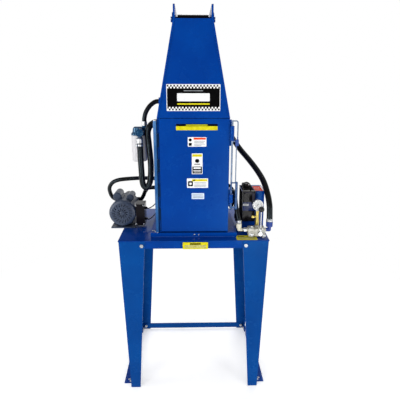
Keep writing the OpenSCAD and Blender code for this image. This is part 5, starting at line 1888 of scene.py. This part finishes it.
NODE_FINISH: dict[Finish, tuple[str, ...]] = {
    LEG_BLUE_LIT: ("leg_front_left", "leg_front_right", "leg_rear_left", "leg_rear_right", "rear_crossbar"),
    BLUE: ("skid_left", "skid_right", "drain_spout", "side_plate_left", "side_plate_right", "back_plate",
           "hood_front", "guide_plate", "crush_platen", "door_panel", "latch_brackets", "oil_tank",
           "tank_lid", "top_pin"),
    TEAL: ("filter_head",),
    BLUE_TOP: ("table_top",),
    PLATE_BLUE_LIT: ("base_plate",),
    NAVY: ("motor_frame", "fan_cover", "motor_base", "start_capacitor_cover", "run_capacitor_cover"),
    BLACK: ("cylinder_barrel", "cylinder_gland", "terminal_box", "pump_housing", "pump_fittings"),
    WHITE: ("filter_can",),
    ZINC: ("fasteners", "valve_lever", "gauge_case"),
    STEEL: ("piston", "piston_rod", "motor_shaft", "hinge_pin", "valve_spool"),
    GEAR: ("drive_gear", "idler_gear"),
    CAST: ("valve_body",),
    PLASTIC: ("motor_fan", "breather_cap", "lever_knob", "gauge_needle"),
    SEAL: ("piston_seals",),
    HOSE: ("pump_hoses", "return_hoses", "ram_hose"),
    LEAD: ("motor_leads",),
    GLASS: ("gauge_glass",),
}


@dataclass(frozen=True)
class ZonedNodes:
    """Finishes of the nodes whose parts differ by where they stand."""

    margin: float = 0.01
    elbow_reach: float = 0.02
    brass_reach: float = 0.115
    cap_reach: float = 0.034
    grip_top: float = 0.165
    sleeve: Spot = (0.15, 0.09)
    sleeve_reach: float = 0.022
    # Foot and top of the control box's navy band of painted shade.
    box_shade_band: Spot = (1.117, 1.170)

    def fittings(self) -> dict[str, Finish]:
        """Painted elbow, brass stem and pale cap on the valve; a painted port on the filter.

        Returns:
            A finish for each node.
        """
        body, pipe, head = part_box("valve_body"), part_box("valve_fittings"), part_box("filter_head")
        right = body[1].x
        valve = Zoned("fitting_metals", ZINC, (
            Zone((right - self.elbow_reach, -1, 0.9), (pipe[1].x + self.margin, 0, 1.1), BLUE.middle,
                 0.0),
            Zone((right - self.brass_reach, -1, body[1].z - 0.002), (right - self.elbow_reach, 0, 1.3),
                 BRASS.middle, 0.9),
            Zone((pipe[0].x - self.margin, -1, 0.9), (pipe[0].x + self.cap_reach, 0, 1.1),
                 shade(226, 222, 202), 0.0)))
        port = Zoned("filter_metals", ZINC, (
            Zone((head[0].x, -0.3, head[0].z - 0.0065), (head[1].x, head[0].y + 0.004, head[1].z),
                 TEAL.middle, 0.0),))
        return {"valve_fittings": valve, "filter_fittings": port}

    def latch(self) -> Finish:
        """Worn bar, with its grip and sleeve in paint.

        Returns:
            The finish.
        """
        (x0, _, z0), (x1, _, z1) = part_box("latch_handle")
        left, right = x0 - self.margin, x1 + self.margin
        return Zoned("latch_metals", ZINC, (
            Zone((left, -1, z0 - self.margin), (right, 1, z1 + self.margin), shade(112, 130, 156), 0.25),
            Zone((left, -1, z0 - self.margin), (right, 1, z0 + self.grip_top), shade(34, 76, 130), 0.0),
            Zone((x1 - self.sleeve_reach, -1, z1 - self.sleeve[0]), (right, 1, z1 - self.sleeve[1]),
                 shade(10, 60, 140), 0.0)))

    def build(self) -> dict[str, Finish]:
        """Adds the painted shadow beside the hinge barrel, and the control box's navy band of painted
        shade that stands for the tank's blue front in shadow.

        Returns:
            A finish for each node.
        """
        # Painted shadow: the hinge leaves right of the pin are near-black blue, for the dark groove
        # between the barrel and the door.
        shadow = Zone((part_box("hinge_pin")[1].x, -1, 0), (0, 1, 3), shade(3, 22, 62), 0.0)
        hinge = Zoned("hinge_highlight_and_groove_shadow", HINGE_LIT_PAINT, (shadow,), 0.0)
        low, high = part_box("control_box")
        # Painted shade: the navy band across the black box stands for the tank's blue front in shadow.
        panel = Zone((low.x - self.margin, low.y - self.margin, self.box_shade_band[0]),
                     (high.x + self.margin, high.y + self.margin, self.box_shade_band[1]),
                     shade(10, 38, 100), 0.0)
        return {**self.fittings(), "latch_handle": self.latch(), "door_hinge": hinge,
                "frame_hinge": hinge, "control_box": Zoned("box_black_with_painted_shade", BLACK, (panel,), 0.0)}


def finish_nodes(nodes: dict[str, bpy.types.Object]) -> None:
    """Puts a finish into the material slots of every node of the part.

    Args:
        nodes: the part's objects by name.
    """
    chosen = {name: finish for finish, names in NODE_FINISH.items() for name in names}
    chosen |= ZonedNodes().build()
    for name, node in nodes.items():
        finish = chosen.get(name)
        if finish is None:
            LOG.warning("%s has no finish of its own", name)
            finish = BLUE
        if not node.data.materials:
            node.data.materials.append(finish.material())
        for k in range(len(node.data.materials)):
            node.data.materials[k] = finish.material()
        LOG.info("%s finished in %s", name, finish.name)


def loose_screws() -> None:
    """Puts the two screws on the base plate's front and the two on its top at the left."""
    plate_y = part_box("base_plate")[0].y
    ScrewSet("base_screws", Face((0.016, plate_y, 1.003)), ((-0.013, 0.001), (0.013, 0.0)),
             radius=0.003).build()
    ScrewSet("foot_screws", Face((-0.232, plate_y + 0.02, 1.015), *LOOKS_UP),
             ((-0.008, 0.02), (0.008, 0.0)), radius=0.005).build()


def dial_centre() -> Point:
    """Middle of the gauge's dial: in the round case, a little behind its front.

    Returns:
        The place.
    """
    low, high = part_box("gauge_case")
    depth = 0.0149
    return ((low.x + high.x) / 2, low.y + depth, high.z - (high.x - low.x) / 2)


def main() -> None:
    """Loads the part and builds each sub-assembly in turn."""
    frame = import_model()
    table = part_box("table_top")
    table_origin = np.array([0.0, table[0].y, table[1].z])
    chamber_origin = np.array([0.0, table[0].y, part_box("guide_plate")[1].z])
    Studio().build()
    hoses_as_piece("pump_hose_pair", (SUCTION, PRESSURE), table_origin, "pump_hoses")
    hoses_as_piece("filter_hose_pair", (LOOP, ARC), chamber_origin, "return_hoses")
    hoses_as_piece("ram_hose_pair", (RAM,), table_origin, "ram_hose")
    hoses_as_piece("motor_lead_set", LEADS, table_origin, "motor_leads")
    finish_nodes(frame["nodes"])
    for made in (Stand(), Cabinet(), FilterUnit(), FilterPort(), ValveBank(), ControlBox(), MotorTrim()):
        made.build()
    loose_screws()
    GaugeDial(dial_centre()).build()
    Labels(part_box("hood_front")[0].y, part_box("door_panel")[0].y, table[0].y, table[1].z,
           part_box("tank_lid")[1].z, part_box("control_box")[0].y).build()


if __name__ == "__main__":
    logging.basicConfig(level=logging.INFO, format="%(message)s")
    main()
